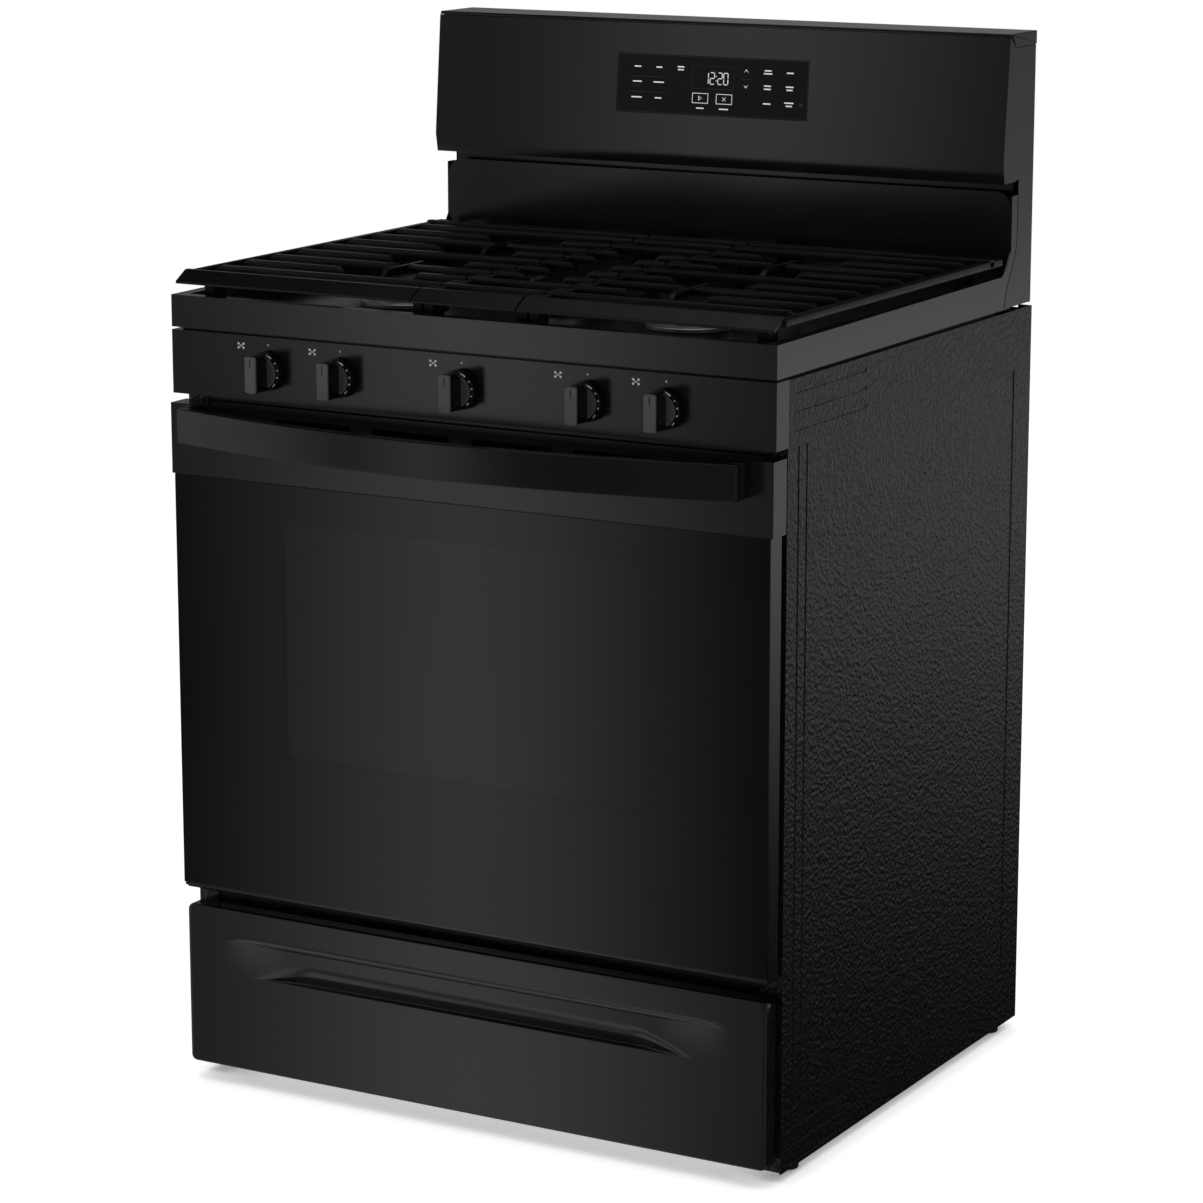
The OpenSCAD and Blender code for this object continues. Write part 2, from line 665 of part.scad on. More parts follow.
module cord_bushing() color("#111112") at_front() difference() {
    union() {
        y_rod(-250, 120, rear_y + gap, rear_y + 6, 15);
        y_rod(-250, 120, rear_y - 8, rear_y + gap, 10.8);
    }
    y_rod(-250, 120, rear_y - 9, rear_y + 7, 5);
}

module rear_screws() color("#b9bbbd") at_front() {
    for (x = [-365, 365], z = [90 : 150 : 840]) y_rod(x, z, rear_y, rear_y + 3, 4);
    for (x = [-240, -80, 80, 240]) y_rod(x, 860, rear_y, rear_y + 3, 4);
    for (x = [-365, 365], z = [900, 1030, 1160]) y_rod(x, z, console_back_y, console_back_y + 3, 4);
}

// ---- door ----

vent_slots = [[-236, -140], [-113, -14], [14, 113], [140, 236]];

module door_top_band() color("#1b1c1f") at_front() difference() {
    union() {
        block([-half_w, -door_out, glass_top_z], [half_w, -door_out + sheet_t, door_top_z]);
        both_sides() block([half_w - sheet_t, -door_out + sheet_t, glass_top_z], [half_w, door_back_y, door_top_z]);
        block([-half_w + sheet_t, -door_out + sheet_t, door_top_z - sheet_t], [half_w - sheet_t, door_back_y, door_top_z]);
    }
    for (s = vent_slots) along_y(-10, 0) {
        translate([s[0] + 3.9, 778.5]) square([s[1] - s[0] - 7.8, 7.8]);
        for (x = [s[0] + 3.9, s[1] - 3.9]) translate([x, 782.4]) circle(r = 3.9);
    }
}

module door_glass() color("#08080a") at_front()
    block([-375, -door_out, 237], [375, -door_out + 4, glass_top_z - gap]);

module door_frame() color("#2a2b2e") at_front() difference() {
    union() {
        both_sides() block([346, -1.2, 237], [374, door_back_y - sheet_t, glass_top_z - gap]);
        block([-346, -1.2, glass_top_z - 24], [346, door_back_y - sheet_t, glass_top_z - gap]);
        along_x(-374, 374) polygon([[-1.2, door_bottom_z + 3], [-1.2, 258], [door_back_y - sheet_t, 258],
            [door_back_y - sheet_t, door_bottom_z], [2, door_bottom_z]]);
        both_sides() block([250, -1.2, 258], [256, door_back_y - sheet_t, glass_top_z - 24]);
        both_sides() block([346, -1.2 - 2.6, door_bottom_z + 3.5], [374, -1.2, 236.8]);
        block([-346, -1.2 - 2.6, door_bottom_z + 3.5], [346, -1.2, 236.8]);
    }
    both_sides() block([hinge_x - 10, -1, door_bottom_z - 1], [hinge_x + 10, 30, 264]);
}

module door_liner() color("#2d2e30") at_front() difference() {
    block([-352, door_back_y - sheet_t, 240], [352, door_back_y, door_top_z - 4]);
    block([-window_w / 2, 0, window_bottom_z], [window_w / 2, 60, window_top_z]);
    both_sides() block([hinge_x - 10, 0, 230], [hinge_x + 10, 60, 264]);
}

module window_panes() color("#3a4244", 0.5) at_front() for (y = [3, 11])
    block([-249.8, y, window_bottom_z - 8], [249.8, y + 3, window_top_z + 8]);

// The handle is an arc in plan, cut off square at its ends
handle_r = (pow(handle_w / 2, 2) + pow(handle_bow, 2)) / (2 * handle_bow);
handle_z = door_top_z - handle_h - 0.4;

module door_handle() color("#2c2d31") at_front() translate([0, 0, handle_z]) linear_extrude(handle_h) intersection() {
    translate([0, handle_r - handle_out]) difference() {
        circle(r = handle_r, $fn = 720);
        circle(r = handle_r - handle_t, $fn = 720);
    }
    translate([-handle_w / 2, -handle_out - 1]) square([handle_w, handle_bow + handle_t + 2]);
}

// Back face of the handle's arc at a distance from the middle
function handle_back(x) = handle_r - handle_out - sqrt(pow(handle_r - handle_t, 2) - x * x);

module handle_posts() color("#2c2d31") at_front() both_sides() translate([0, 0, handle_z])
    linear_extrude(handle_h) let (inner = handle_w / 2 - 14, outer = handle_w / 2)
        polygon([[inner, handle_back(inner) + gap], [outer, handle_back(outer) + gap],
            [outer, -door_out], [inner, -door_out]]);

module hinge_blocks() color("#a7a9ab") at_front() both_sides() for (x = [hinge_x - 9.8, hinge_x + 5.8]) difference() {
    union() {
        block([x, 0, pivot_z], [x + 4, door_back_y - sheet_t, 263]);
        x_rod(pivot_y, pivot_z, x, x + 4, 8);
    }
    x_rod(pivot_y, pivot_z, x - 1, x + 5, pin_r + running_gap);
}

// ---- drawer ----

pull_x = 300;
pull_y = 24;

module drawer_front() color("#232428") at_front() {
    edge = drawer_w / 2;
    face = -1.4;
    back = 20;
    t = 2;
    along_x(-edge, edge) polygon([[back, drawer_top_z], [face, drawer_top_z], [face, pull_top_z],
        [face + t, pull_top_z], [face + t, drawer_top_z - t], [back, drawer_top_z - t]]);
    along_x(-edge, edge) polygon([[back, drawer_bottom_z], [face, drawer_bottom_z], [face, pull_lip_z],
        [face + t, pull_lip_z], [face + t, drawer_bottom_z + t], [back, drawer_bottom_z + t]]);
    along_x(-pull_x, pull_x) polygon([[face, pull_top_z], [pull_y - t, pull_lip_z + 6], [pull_y - t, pull_lip_z],
        [face, pull_lip_z], [face, pull_lip_z - t], [pull_y, pull_lip_z - t], [pull_y, pull_lip_z + 7],
        [face + t, pull_top_z]]);
    both_sides() {
        block([pull_x, face, pull_lip_z], [edge, face + t, pull_top_z]);
        block([pull_x, face + t, pull_lip_z - t], [pull_x + t, pull_y, pull_top_z]);
        block([edge - t, face + t, drawer_bottom_z + t], [edge, back, drawer_top_z - t]);
    }
}

module drawer_box() color("#6c6e71") at_front() {
    x = 330;
    low = 40;
    high = 188;
    block([-x, 26, low], [x, 545, low + 1.5]);
    both_sides() block([x - 1.5, 26, low + 1.5 + gap], [x, 545, high]);
    block([-x + 1.5 + gap, 26, low + 1.5 + gap], [x - 1.5 - gap, 27.5, high]);
    block([-x + 1.5 + gap, 543.5, low + 1.5 + gap], [x - 1.5 - gap, 545, high]);
    both_sides() block([318, 0.6, low + 4], [x, 26 - gap, high - 4]);
}

module drawer_runners() color("#b9bbbd") at_front() both_sides()
    block([330.2, 36, rail_z - 5.6], [341.4, 544, rail_z + 5.6]);

// ---- racks ----

rack_half = 292;
rack_front_y = 66;
rack_back_y = 490;
wire_r = 2.2;

module rack(z) {
    side_r = 3.2;
    both_sides() y_rod(rack_half, z, rack_front_y - 4, rack_back_y + 4, side_r);
    for (y = [rack_front_y, rack_back_y]) x_rod(y, z, -rack_half, rack_half, side_r - 0.3);
    x_rod((rack_front_y + rack_back_y) / 2, z - 4, -rack_half, rack_half, side_r - 0.3);
    for (i = [-13 : 13]) y_rod(i * 21.5, z, rack_front_y, rack_back_y, wire_r);
}

module rack_upper() color("#c4c6c8") at_front() rack(rack_upper_z);

module rack_lower() color("#c4c6c8") at_front() rack(rack_lower_z);

// ---- knobs ----

stem_front_y = -18;

module knob(i) color("#77797d") at_front() translate([knob_xs[i], 0, knob_z]) difference() {
    union() {
        y_rod(0, 0, -12, -4.5, knob_skirt_r);
        y_rod(0, 0, -14.5, -12, knob_skirt_r - 3);
        intersection() {
            y_rod(0, 0, -knob_reach, -12, 20);
            block([-7.5, -knob_reach, -21], [7.5, -12, 21]);
        }
    }
    y_rod(0, 0, stem_front_y, 0, stem_r + running_gap);
    block([-0.9, -knob_reach - 1, 8], [0.9, -knob_reach + 0.6, 18]);
}

module valve_stem(i) color("#a7a9ab") at_front() translate([knob_xs[i], 0, knob_z]) {
    y_rod(0, 0, stem_front_y + 0.5, 44, stem_r);
    y_rod(0, 0, 20, 23, stem_r + 3);
}

module knob_1() knob(0);
module knob_2() knob(1);
module knob_3() knob(2);
module knob_4() knob(3);
module knob_5() knob(4);
module stem_1() valve_stem(0);
module stem_2() valve_stem(1);
module stem_3() valve_stem(2);
module stem_4() valve_stem(3);
module stem_5() valve_stem(4);

side_panel_left();
side_panel_right();
rear_panel();
base_frame();
leveling_feet();
front_frame();
oven_liner();
oven_floor();
rack_guides();
insulation();
door_seal();
bake_burner();
broil_burner();
oven_lamp();
fan_cover();
fan_motor();
fan_blade();
hinge_arms();
drawer_rails();
cooktop();
burner_heads();
burner_caps();
gas_manifold();
burner_tubes();
gas_regulator();
knob_panel();
console_fascia();
console_cap();
console_sides();
console_rear_cover();
touch_panel();
flue_duct();
cord_bushing();
rear_screws();
door_top_band();
door_glass();
door_frame();
door_liner();
window_panes();
door_handle();
handle_posts();
hinge_blocks();
drawer_front();
drawer_box();
drawer_runners();
rack_upper();
rack_lower();
grate_left();
grate_center();
grate_right();
knob_1();
knob_2();
knob_3();
knob_4();
knob_5();
stem_1();
stem_2();
stem_3();
stem_4();
stem_5();
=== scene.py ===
"""Looks of a freestanding gas range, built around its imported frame."""

import json
import logging
import math
from dataclasses import dataclass, field
from enum import Enum
from typing import Any, Iterable, Sequence

import bmesh
import bpy
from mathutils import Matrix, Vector

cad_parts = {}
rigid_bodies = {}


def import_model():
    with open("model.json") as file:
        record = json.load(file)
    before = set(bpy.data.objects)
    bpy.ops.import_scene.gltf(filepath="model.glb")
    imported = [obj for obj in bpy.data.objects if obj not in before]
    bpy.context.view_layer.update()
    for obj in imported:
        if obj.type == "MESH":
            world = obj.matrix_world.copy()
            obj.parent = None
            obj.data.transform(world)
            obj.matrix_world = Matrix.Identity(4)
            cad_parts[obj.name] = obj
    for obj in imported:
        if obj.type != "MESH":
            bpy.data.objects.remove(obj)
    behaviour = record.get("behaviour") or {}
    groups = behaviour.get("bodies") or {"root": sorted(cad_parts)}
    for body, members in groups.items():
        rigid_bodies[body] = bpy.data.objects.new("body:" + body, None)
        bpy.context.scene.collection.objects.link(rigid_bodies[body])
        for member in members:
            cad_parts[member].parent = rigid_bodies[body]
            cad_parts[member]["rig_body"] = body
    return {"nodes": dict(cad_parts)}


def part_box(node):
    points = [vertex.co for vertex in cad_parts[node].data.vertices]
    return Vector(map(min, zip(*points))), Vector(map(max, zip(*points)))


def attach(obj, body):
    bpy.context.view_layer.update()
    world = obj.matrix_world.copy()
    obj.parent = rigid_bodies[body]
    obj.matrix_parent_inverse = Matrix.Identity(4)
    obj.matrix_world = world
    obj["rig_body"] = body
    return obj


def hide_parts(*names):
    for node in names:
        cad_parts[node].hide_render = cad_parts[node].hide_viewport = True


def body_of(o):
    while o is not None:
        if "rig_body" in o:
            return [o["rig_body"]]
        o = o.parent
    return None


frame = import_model()

LOG = logging.getLogger("range")
MM = 0.001
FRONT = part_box("knob_panel")[0].y
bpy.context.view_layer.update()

Point = Sequence[float]


def linear(colour: str) -> tuple[float, float, float, float]:
    """Turns an sRGB hex colour into the linear numbers that shaders take.

    Args:
        colour: Six hex digits with a leading hash.

    Returns:
        Linear red, green, blue and a full alpha.
    """
    parts = [int(colour[i : i + 2], 16) / 255 for i in (1, 3, 5)]
    bent = [c / 12.92 if c <= 0.04045 else ((c + 0.055) / 1.055) ** 2.4 for c in parts]
    return (bent[0], bent[1], bent[2], 1.0)


def at(x: float, y: float, z: float) -> Vector:
    """Gives the place of a point named in millimetres behind the knob panel's face."""
    return Vector((x * MM, FRONT + y * MM, z * MM))


def blend(low: float, high: float, value: float) -> float:
    """Rises smoothly from 0 at low to 1 at high."""
    t = min(max((value - low) / (high - low), 0.0), 1.0)
    return t * t * (3 - 2 * t)


def add_node(
    tree: bpy.types.NodeTree,
    kind: str,
    settings: dict[str, Any] | None = None,
    inputs: dict[Any, Any] | None = None,
) -> bpy.types.Node:
    """Adds one node with its settings, its values and its links.

    Args:
        tree: The tree that takes the node.
        kind: Blender's name of the node's type.
        settings: Properties of the node itself.
        inputs: A value or another node's output for each named or numbered input.

    Returns:
        The new node.
    """
    made = tree.nodes.new(kind)
    for name, value in (settings or {}).items():
        setattr(made, name, value)
    for key, value in (inputs or {}).items():
        if isinstance(value, bpy.types.NodeSocket):
            tree.links.new(value, made.inputs[key])
        else:
            made.inputs[key].default_value = value
    return made


# ---- finishes ----


class Grain(Enum):
    """How a surface was formed, which sets its relief."""

    PEBBLE = "rolled pebble"
    PEEL = "sprayed orange peel"
    BRUSHED = "long brush lines"
    SAND = "sand cast"
    MOULDED = "moulded"
    FIBRE = "tangled fibre"
    SPANGLE = "zinc crystals"


@dataclass(frozen=True)
class Finish:
    """A surface as its maker would order it, with sizes in millimetres."""

    name: str
    slot: str
    colour: str
    shade: str
    roughness: float
    spread: float = 0.04
    metallic: float = 0.0
    ior: float = 1.5
    mottle_mm: float = 90.0
    grain: Grain = Grain.PEEL
    grain_mm: float = 3.0
    relief_mm: float = 0.02
    speck: str = ""
    speck_mm: float = 4.0
    glow: float = 0.0

    def height(self, tree: bpy.types.NodeTree, place: bpy.types.NodeSocket) -> bpy.types.NodeSocket:
        """Adds the nodes of the surface's relief.

        Args:
            tree: The material's tree.
            place: Object coordinates.

        Returns:
            The output that carries the height.
        """
        per_metre = 1000 / self.grain_mm
        if self.grain is Grain.PEBBLE:
            warp = add_node(
                tree, "ShaderNodeTexNoise", None, {"Vector": place, "Scale": per_metre * 0.6, "Detail": 2.0}
            )
            shift = add_node(
                tree,
                "ShaderNodeVectorMath",
                {"operation": "SCALE"},
                {0: warp.outputs["Color"], "Scale": self.grain_mm * MM},
            )
            moved = add_node(tree, "ShaderNodeVectorMath", {"operation": "ADD"}, {0: place, 1: shift.outputs[0]})
            cells = add_node(
                tree, "ShaderNodeTexVoronoi", {"feature": "SMOOTH_F1"}, {"Vector": moved.outputs[0], "Scale": per_metre}
            )
            return cells.outputs["Distance"]
        if self.grain is Grain.SPANGLE:
            cells = add_node(tree, "ShaderNodeTexVoronoi", None, {"Vector": place, "Scale": per_metre})
            return cells.outputs["Color"]
        if self.grain is Grain.BRUSHED:
            drawn = add_node(tree, "ShaderNodeMapping", None, {"Vector": place, "Scale": (0.015, 1.0, 1.0)})
            lines = add_node(
                tree, "ShaderNodeTexNoise", None, {"Vector": drawn.outputs[0], "Scale": per_metre, "Detail": 4.0}
            )
            return lines.outputs["Fac"]
        detail = {Grain.SAND: 6.0, Grain.FIBRE: 8.0, Grain.MOULDED: 2.0}.get(self.grain, 1.0)
        bumps = add_node(
            tree, "ShaderNodeTexNoise", None, {"Vector": place, "Scale": per_metre, "Detail": detail, "Roughness": 0.6}
        )
        return bumps.outputs["Fac"]

    def material(self) -> bpy.types.Material:
        """Makes the finish's material once, and gives the same one after that."""
        known = bpy.data.materials.get(self.name)
        if known:
            return known
        made = bpy.data.materials.new(self.name)
        made.use_nodes = True
        tree = made.node_tree
        shader = tree.nodes["Principled BSDF"]
        place = add_node(tree, "ShaderNodeTexCoord").outputs["Object"]
        cloud = add_node(
            tree, "ShaderNodeTexNoise", None, {"Vector": place, "Scale": 1000 / self.mottle_mm, "Detail": 3.0}
        )
        tone = add_node(
            tree,
            "ShaderNodeMix",
            {"data_type": "RGBA"},
            {0: cloud.outputs["Fac"], 6: linear(self.colour), 7: linear(self.shade)},
        ).outputs[2]
        if self.speck:
            dots = add_node(tree, "ShaderNodeTexVoronoi", None, {"Vector": place, "Scale": 1000 / self.speck_mm})
            small = add_node(
                tree,
                "ShaderNodeMapRange",
                None,
                {0: dots.outputs["Distance"], 1: 0.16, 2: 0.10, 3: 0.0, 4: 1.0},
            )
            tone = add_node(
                tree, "ShaderNodeMix", {"data_type": "RGBA"}, {0: small.outputs[0], 6: tone, 7: linear(self.speck)}
            ).outputs[2]
        tree.links.new(tone, shader.inputs["Base Color"])
        wear = add_node(
            tree,
            "ShaderNodeMapRange",
            None,
            {0: cloud.outputs["Fac"], 1: 0.3, 2: 0.7, 3: self.roughness - self.spread, 4: self.roughness + self.spread},
        )
        tree.links.new(wear.outputs[0], shader.inputs["Roughness"])
        shader.inputs["Metallic"].default_value = self.metallic
        if not self.metallic:
            shader.inputs["IOR"].default_value = self.ior
        if self.relief_mm:
            bump = add_node(
                tree,
                "ShaderNodeBump",
                None,
                {"Strength": 1.0, "Distance": self.relief_mm * MM, "Height": self.height(tree, place)},
            )
            tree.links.new(bump.outputs[0], shader.inputs["Normal"])
        if self.glow:
            tree.links.new(tone, shader.inputs["Emission Color"])
            shader.inputs["Emission Strength"].default_value = self.glow
        return made


# Polyester powder paint rolled into a leather-like pebble on the side sheets: broken, satin light.
TEXTURED = Finish("pebbled_powder_paint", "textured_steel", "#0e0e10", "#070708", 0.34, 0.02, mottle_mm=5.0,
                  grain=Grain.PEBBLE, grain_mm=4.5, relief_mm=1.0)
# Porcelain enamel fired on the cooktop: deep black with a wet, slightly rippled gloss.
PORCELAIN = Finish("black_porcelain_enamel", "gloss_enamel", "#161617", "#131314", 0.17, 0.004, ior=1.68, grain_mm=30.0,
                   relief_mm=0.003)
# Baked gloss paint on the fronts: black, soft reflections without texture.
BAKED = Finish("baked_black_paint", "black_fascia", "#141415", "#121213", 0.17, 0.004, ior=1.62, mottle_mm=240.0,
               relief_mm=0.0)
# Ground-coat enamel inside the oven: blue-black with pale specks.
OVEN = Finish("speckled_ground_enamel", "oven_enamel", "#16171a", "#101114", 0.38, 0.05, speck="#8f949c", speck_mm=7.0,
              grain_mm=6.0, relief_mm=0.02)
# Zinc-coated sheet at the back: bright crystals under a dull skin.
ZINC = Finish("galvanised_sheet", "zinc_steel", "#8d9194", "#74787c", 0.42, 0.12, metallic=1.0, mottle_mm=16.0,
              grain=Grain.SPANGLE, grain_mm=14.0, relief_mm=0.01)
# Plain rolled or turned steel of hinges, slides, pipes and screws.
STEEL = Finish("plain_rolled_steel", "plain_steel", "#9a9c9e", "#83868a", 0.34, 0.08, metallic=1.0, mottle_mm=25.0,
               grain=Grain.BRUSHED, grain_mm=0.8, relief_mm=0.01)
# Cast iron under matt porcelain: grainy, nearly no shine.
IRON = Finish("enamelled_cast_iron", "cast_iron", "#0e0e0f", "#080809", 0.36, 0.04, ior=1.42, mottle_mm=30.0,
              grain=Grain.SAND, grain_mm=2.2, relief_mm=0.05)
# Die-cast aluminium of the burner heads: pale, fine sand skin.
ALUMINIUM = Finish("die_cast_aluminium", "cast_aluminium", "#c9cacb", "#a9abad", 0.36, 0.08, metallic=1.0,
                   mottle_mm=14.0, grain=Grain.SAND, grain_mm=1.2, relief_mm=0.04)
# Matt enamel on the pressed burner caps.
CAP = Finish("matt_cap_enamel", "cap_enamel", "#131314", "#0e0e0f", 0.5, 0.05, grain=Grain.SAND, grain_mm=1.6,
             relief_mm=0.02)
# Bright nickel-chrome wire of the racks.
CHROME = Finish("nickel_chrome_wire", "rack_chrome", "#c7c9cc", "#b4b7bb", 0.2, 0.05, metallic=1.0, mottle_mm=40.0,
                grain=Grain.BRUSHED, grain_mm=0.6, relief_mm=0.004)
# Satin dark coating over the handle's extrusion.
HANDLE = Finish("satin_handle_coat", "satin_handle", "#0b0b0c", "#09090a", 0.24, 0.01, ior=1.55, grain=Grain.BRUSHED,
                grain_mm=1.2, relief_mm=0.001)
# Satin metallic paint on the knobs' faces: mid grey, soft highlight.
KNOB_FACE = Finish("satin_metallic_knob_paint", "satin_knob", "#6c6d70", "#646568", 0.42, 0.03, metallic=0.5,
                   mottle_mm=20.0, grain=Grain.BRUSHED, grain_mm=0.7, relief_mm=0.006)
# Gloss ABS of the knobs' skirts and sides.
KNOB_BODY = Finish("gloss_black_abs", "satin_knob", "#070708", "#050506", 0.25, 0.04, ior=1.54, grain=Grain.MOULDED,
                   grain_mm=1.0, relief_mm=0.01)
# White screen ink of the marks.
INK = Finish("white_screen_ink", "black_fascia", "#f4f4f2", "#e6e6e4", 0.55, 0.04, mottle_mm=12.0,
             grain=Grain.MOULDED, grain_mm=0.5, relief_mm=0.01)
# Grey ink of the fainter rules on the key panel.
FAINT_INK = Finish("grey_screen_ink", "screen_glass", "#5c5f63", "#54575b", 0.55, 0.04, mottle_mm=12.0,
                   grain=Grain.MOULDED, grain_mm=0.5, relief_mm=0.01)
# Legends and digits lit from behind the key panel.
LIT = Finish("backlit_legend", "screen_glass", "#f6f8fb", "#eceff4", 0.4, 0.02, mottle_mm=20.0, grain=Grain.MOULDED,
             grain_mm=0.5, relief_mm=0.005, glow=0.55)
# Polished black glass over the clock and keys.
SCREEN = Finish("black_screen_glass", "screen_glass", "#0a0a0b", "#080809", 0.3, 0.01, ior=1.35, mottle_mm=120.0,
                relief_mm=0.0)
# Woven glass fibre of the door seal.
SEAL = Finish("braided_glass_fibre", "seal_fibre", "#5b5c5e", "#46474a", 0.85, 0.05, grain=Grain.FIBRE, grain_mm=1.4,
              relief_mm=0.3)
# Yellow glass wool around the oven.
WOOL = Finish("glass_wool_batt", "insulation_fibre", "#cdb672", "#b79d58", 0.95, 0.03, grain=Grain.FIBRE, grain_mm=3.0,
              relief_mm=1.2)
# Moulded feet and bushing.
PLASTIC = Finish("moulded_black_nylon", "foot_plastic", "#1a1a1b", "#141415", 0.5, 0.05, grain=Grain.MOULDED,
                 grain_mm=1.0, relief_mm=0.02)
# Frosted glass of the oven lamp.
LAMP = Finish("frosted_lamp_glass", "lamp_glass", "#efece2", "#e4e0d4", 0.45, 0.05, mottle_mm=30.0,
              grain=Grain.MOULDED, grain_mm=1.5, relief_mm=0.03)


@dataclass(frozen=True)
class DoorGlass:
    """Black-backed door glass that turns into a dark tint over the window."""

    name: str = "printed_door_glass"
    slot: str = "door_glass"
    window_half: float = 235.0
    window_low: float = 400.0
    window_high: float = 672.0
    corner: float = 12.0
    soft_edge: float = 4.0
    tint: str = "#96989a"

    def material(self) -> bpy.types.Material:
        """Makes the glass, clear behind the window and black around it."""
        known = bpy.data.materials.get(self.name)
        if known:
            return known
        made = bpy.data.materials.new(self.name)
        made.use_nodes = True
        tree = made.node_tree
        shader = tree.nodes["Principled BSDF"]
        place = add_node(tree, "ShaderNodeTexCoord").outputs["Object"]
        across, _, up = add_node(tree, "ShaderNodeSeparateXYZ", None, {0: place}).outputs
        half_up = (self.window_high - self.window_low) / 2
        middle = (self.window_high + self.window_low) / 2
        rise = add_node(tree, "ShaderNodeMath", {"operation": "SUBTRACT"}, {0: up, 1: middle * MM})
        past = []
        for way, half in ((across, self.window_half), (rise.outputs[0], half_up)):
            size = add_node(tree, "ShaderNodeMath", {"operation": "ABSOLUTE"}, {0: way})
            straight = (half - self.corner) * MM
            over = add_node(tree, "ShaderNodeMath", {"operation": "SUBTRACT"}, {0: size.outputs[0], 1: straight})
            beyond = add_node(tree, "ShaderNodeMath", {"operation": "MAXIMUM"}, {0: over.outputs[0], 1: 0.0})
            past.append(beyond.outputs[0])
        corner = add_node(tree, "ShaderNodeCombineXYZ", None, {0: past[0], 1: past[1]})
        reach = add_node(tree, "ShaderNodeVectorMath", {"operation": "LENGTH"}, {0: corner.outputs[0]})
        window = add_node(
            tree,
            "ShaderNodeMapRange",
            None,
            {0: reach.outputs["Value"], 1: self.corner * MM, 2: (self.corner - self.soft_edge) * MM, 3: 0.0, 4: 1.0},
        )
        ripple = add_node(tree, "ShaderNodeTexNoise", None, {"Vector": place, "Scale": 1000 / 180, "Detail": 1.0})
        smear = add_node(
            tree, "ShaderNodeMapRange", None, {0: ripple.outputs["Fac"], 1: 0.3, 2: 0.7, 3: 0.09, 4: 0.12}
        )
        dark = add_node(
            tree,
            "ShaderNodeMix",
            {"data_type": "RGBA"},
            {0: ripple.outputs["Fac"], 6: linear("#030304"), 7: linear("#050506")},
        )
        tree.links.new(dark.outputs[2], shader.inputs["Base Color"])
        tree.links.new(smear.outputs[0], shader.inputs["Roughness"])
        shader.inputs["IOR"].default_value = 1.52
        clear = add_node(tree, "ShaderNodeBsdfTransparent", None, {"Color": linear(self.tint)})
        gloss = add_node(
            tree, "ShaderNodeBsdfGlossy", None, {"Color": linear("#ffffff"), "Roughness": smear.outputs[0]}
        )
        edge = add_node(tree, "ShaderNodeFresnel", None, {"IOR": 1.5})
        seen = add_node(
            tree, "ShaderNodeMixShader", None, {0: edge.outputs[0], 1: clear.outputs[0], 2: gloss.outputs[0]}
        )
        both = add_node(
            tree, "ShaderNodeMixShader", None, {0: window.outputs[0], 1: shader.outputs[0], 2: seen.outputs[0]}
        )
        tree.links.new(both.outputs[0], tree.nodes["Material Output"].inputs["Surface"])
        return made


@dataclass(frozen=True)
class InnerGlass:
    """Clear inner panes of the window, faintly smoked by use."""

    name: str = "clear_inner_pane"
    slot: str = "inner_glass"

    def material(self) -> bpy.types.Material:
        """Makes a thin clear pane with a little haze."""
        known = bpy.data.materials.get(self.name)
        if known:
            return known
        made = bpy.data.materials.new(self.name)
        made.use_nodes = True
        tree = made.node_tree
        tree.nodes.remove(tree.nodes["Principled BSDF"])
        place = add_node(tree, "ShaderNodeTexCoord").outputs["Object"]
        haze = add_node(tree, "ShaderNodeTexNoise", None, {"Vector": place, "Scale": 1000 / 120, "Detail": 3.0})
        rough = add_node(tree, "ShaderNodeMapRange", None, {0: haze.outputs["Fac"], 1: 0.3, 2: 0.7, 3: 0.03, 4: 0.08})
        clear = add_node(tree, "ShaderNodeBsdfTransparent", None, {"Color": linear("#e4e9e8")})
        gloss = add_node(tree, "ShaderNodeBsdfGlossy", None, {"Roughness": rough.outputs[0]})
        edge = add_node(tree, "ShaderNodeFresnel", None, {"IOR": 1.5})
        pane = add_node(
            tree, "ShaderNodeMixShader", None, {0: edge.outputs[0], 1: clear.outputs[0], 2: gloss.outputs[0]}
        )
        tree.links.new(pane.outputs[0], tree.nodes["Material Output"].inputs["Surface"])
        return made


AnyFinish = Finish | DoorGlass | InnerGlass
DOOR_GLASS = DoorGlass()
INNER_GLASS = InnerGlass()


# ---- mesh tools ----


class Way(Enum):
    """The direction in which an outline is pushed out or a profile is turned."""

    X = 0
    Y = 1
    Z = 2


def along(way: Way, distance: float, a: float, b: float) -> Point:
    """Places an outline's point: a and b are the two other coordinates in order."""
    return ((distance, a, b), (a, distance, b), (a, b, distance))[way.value]


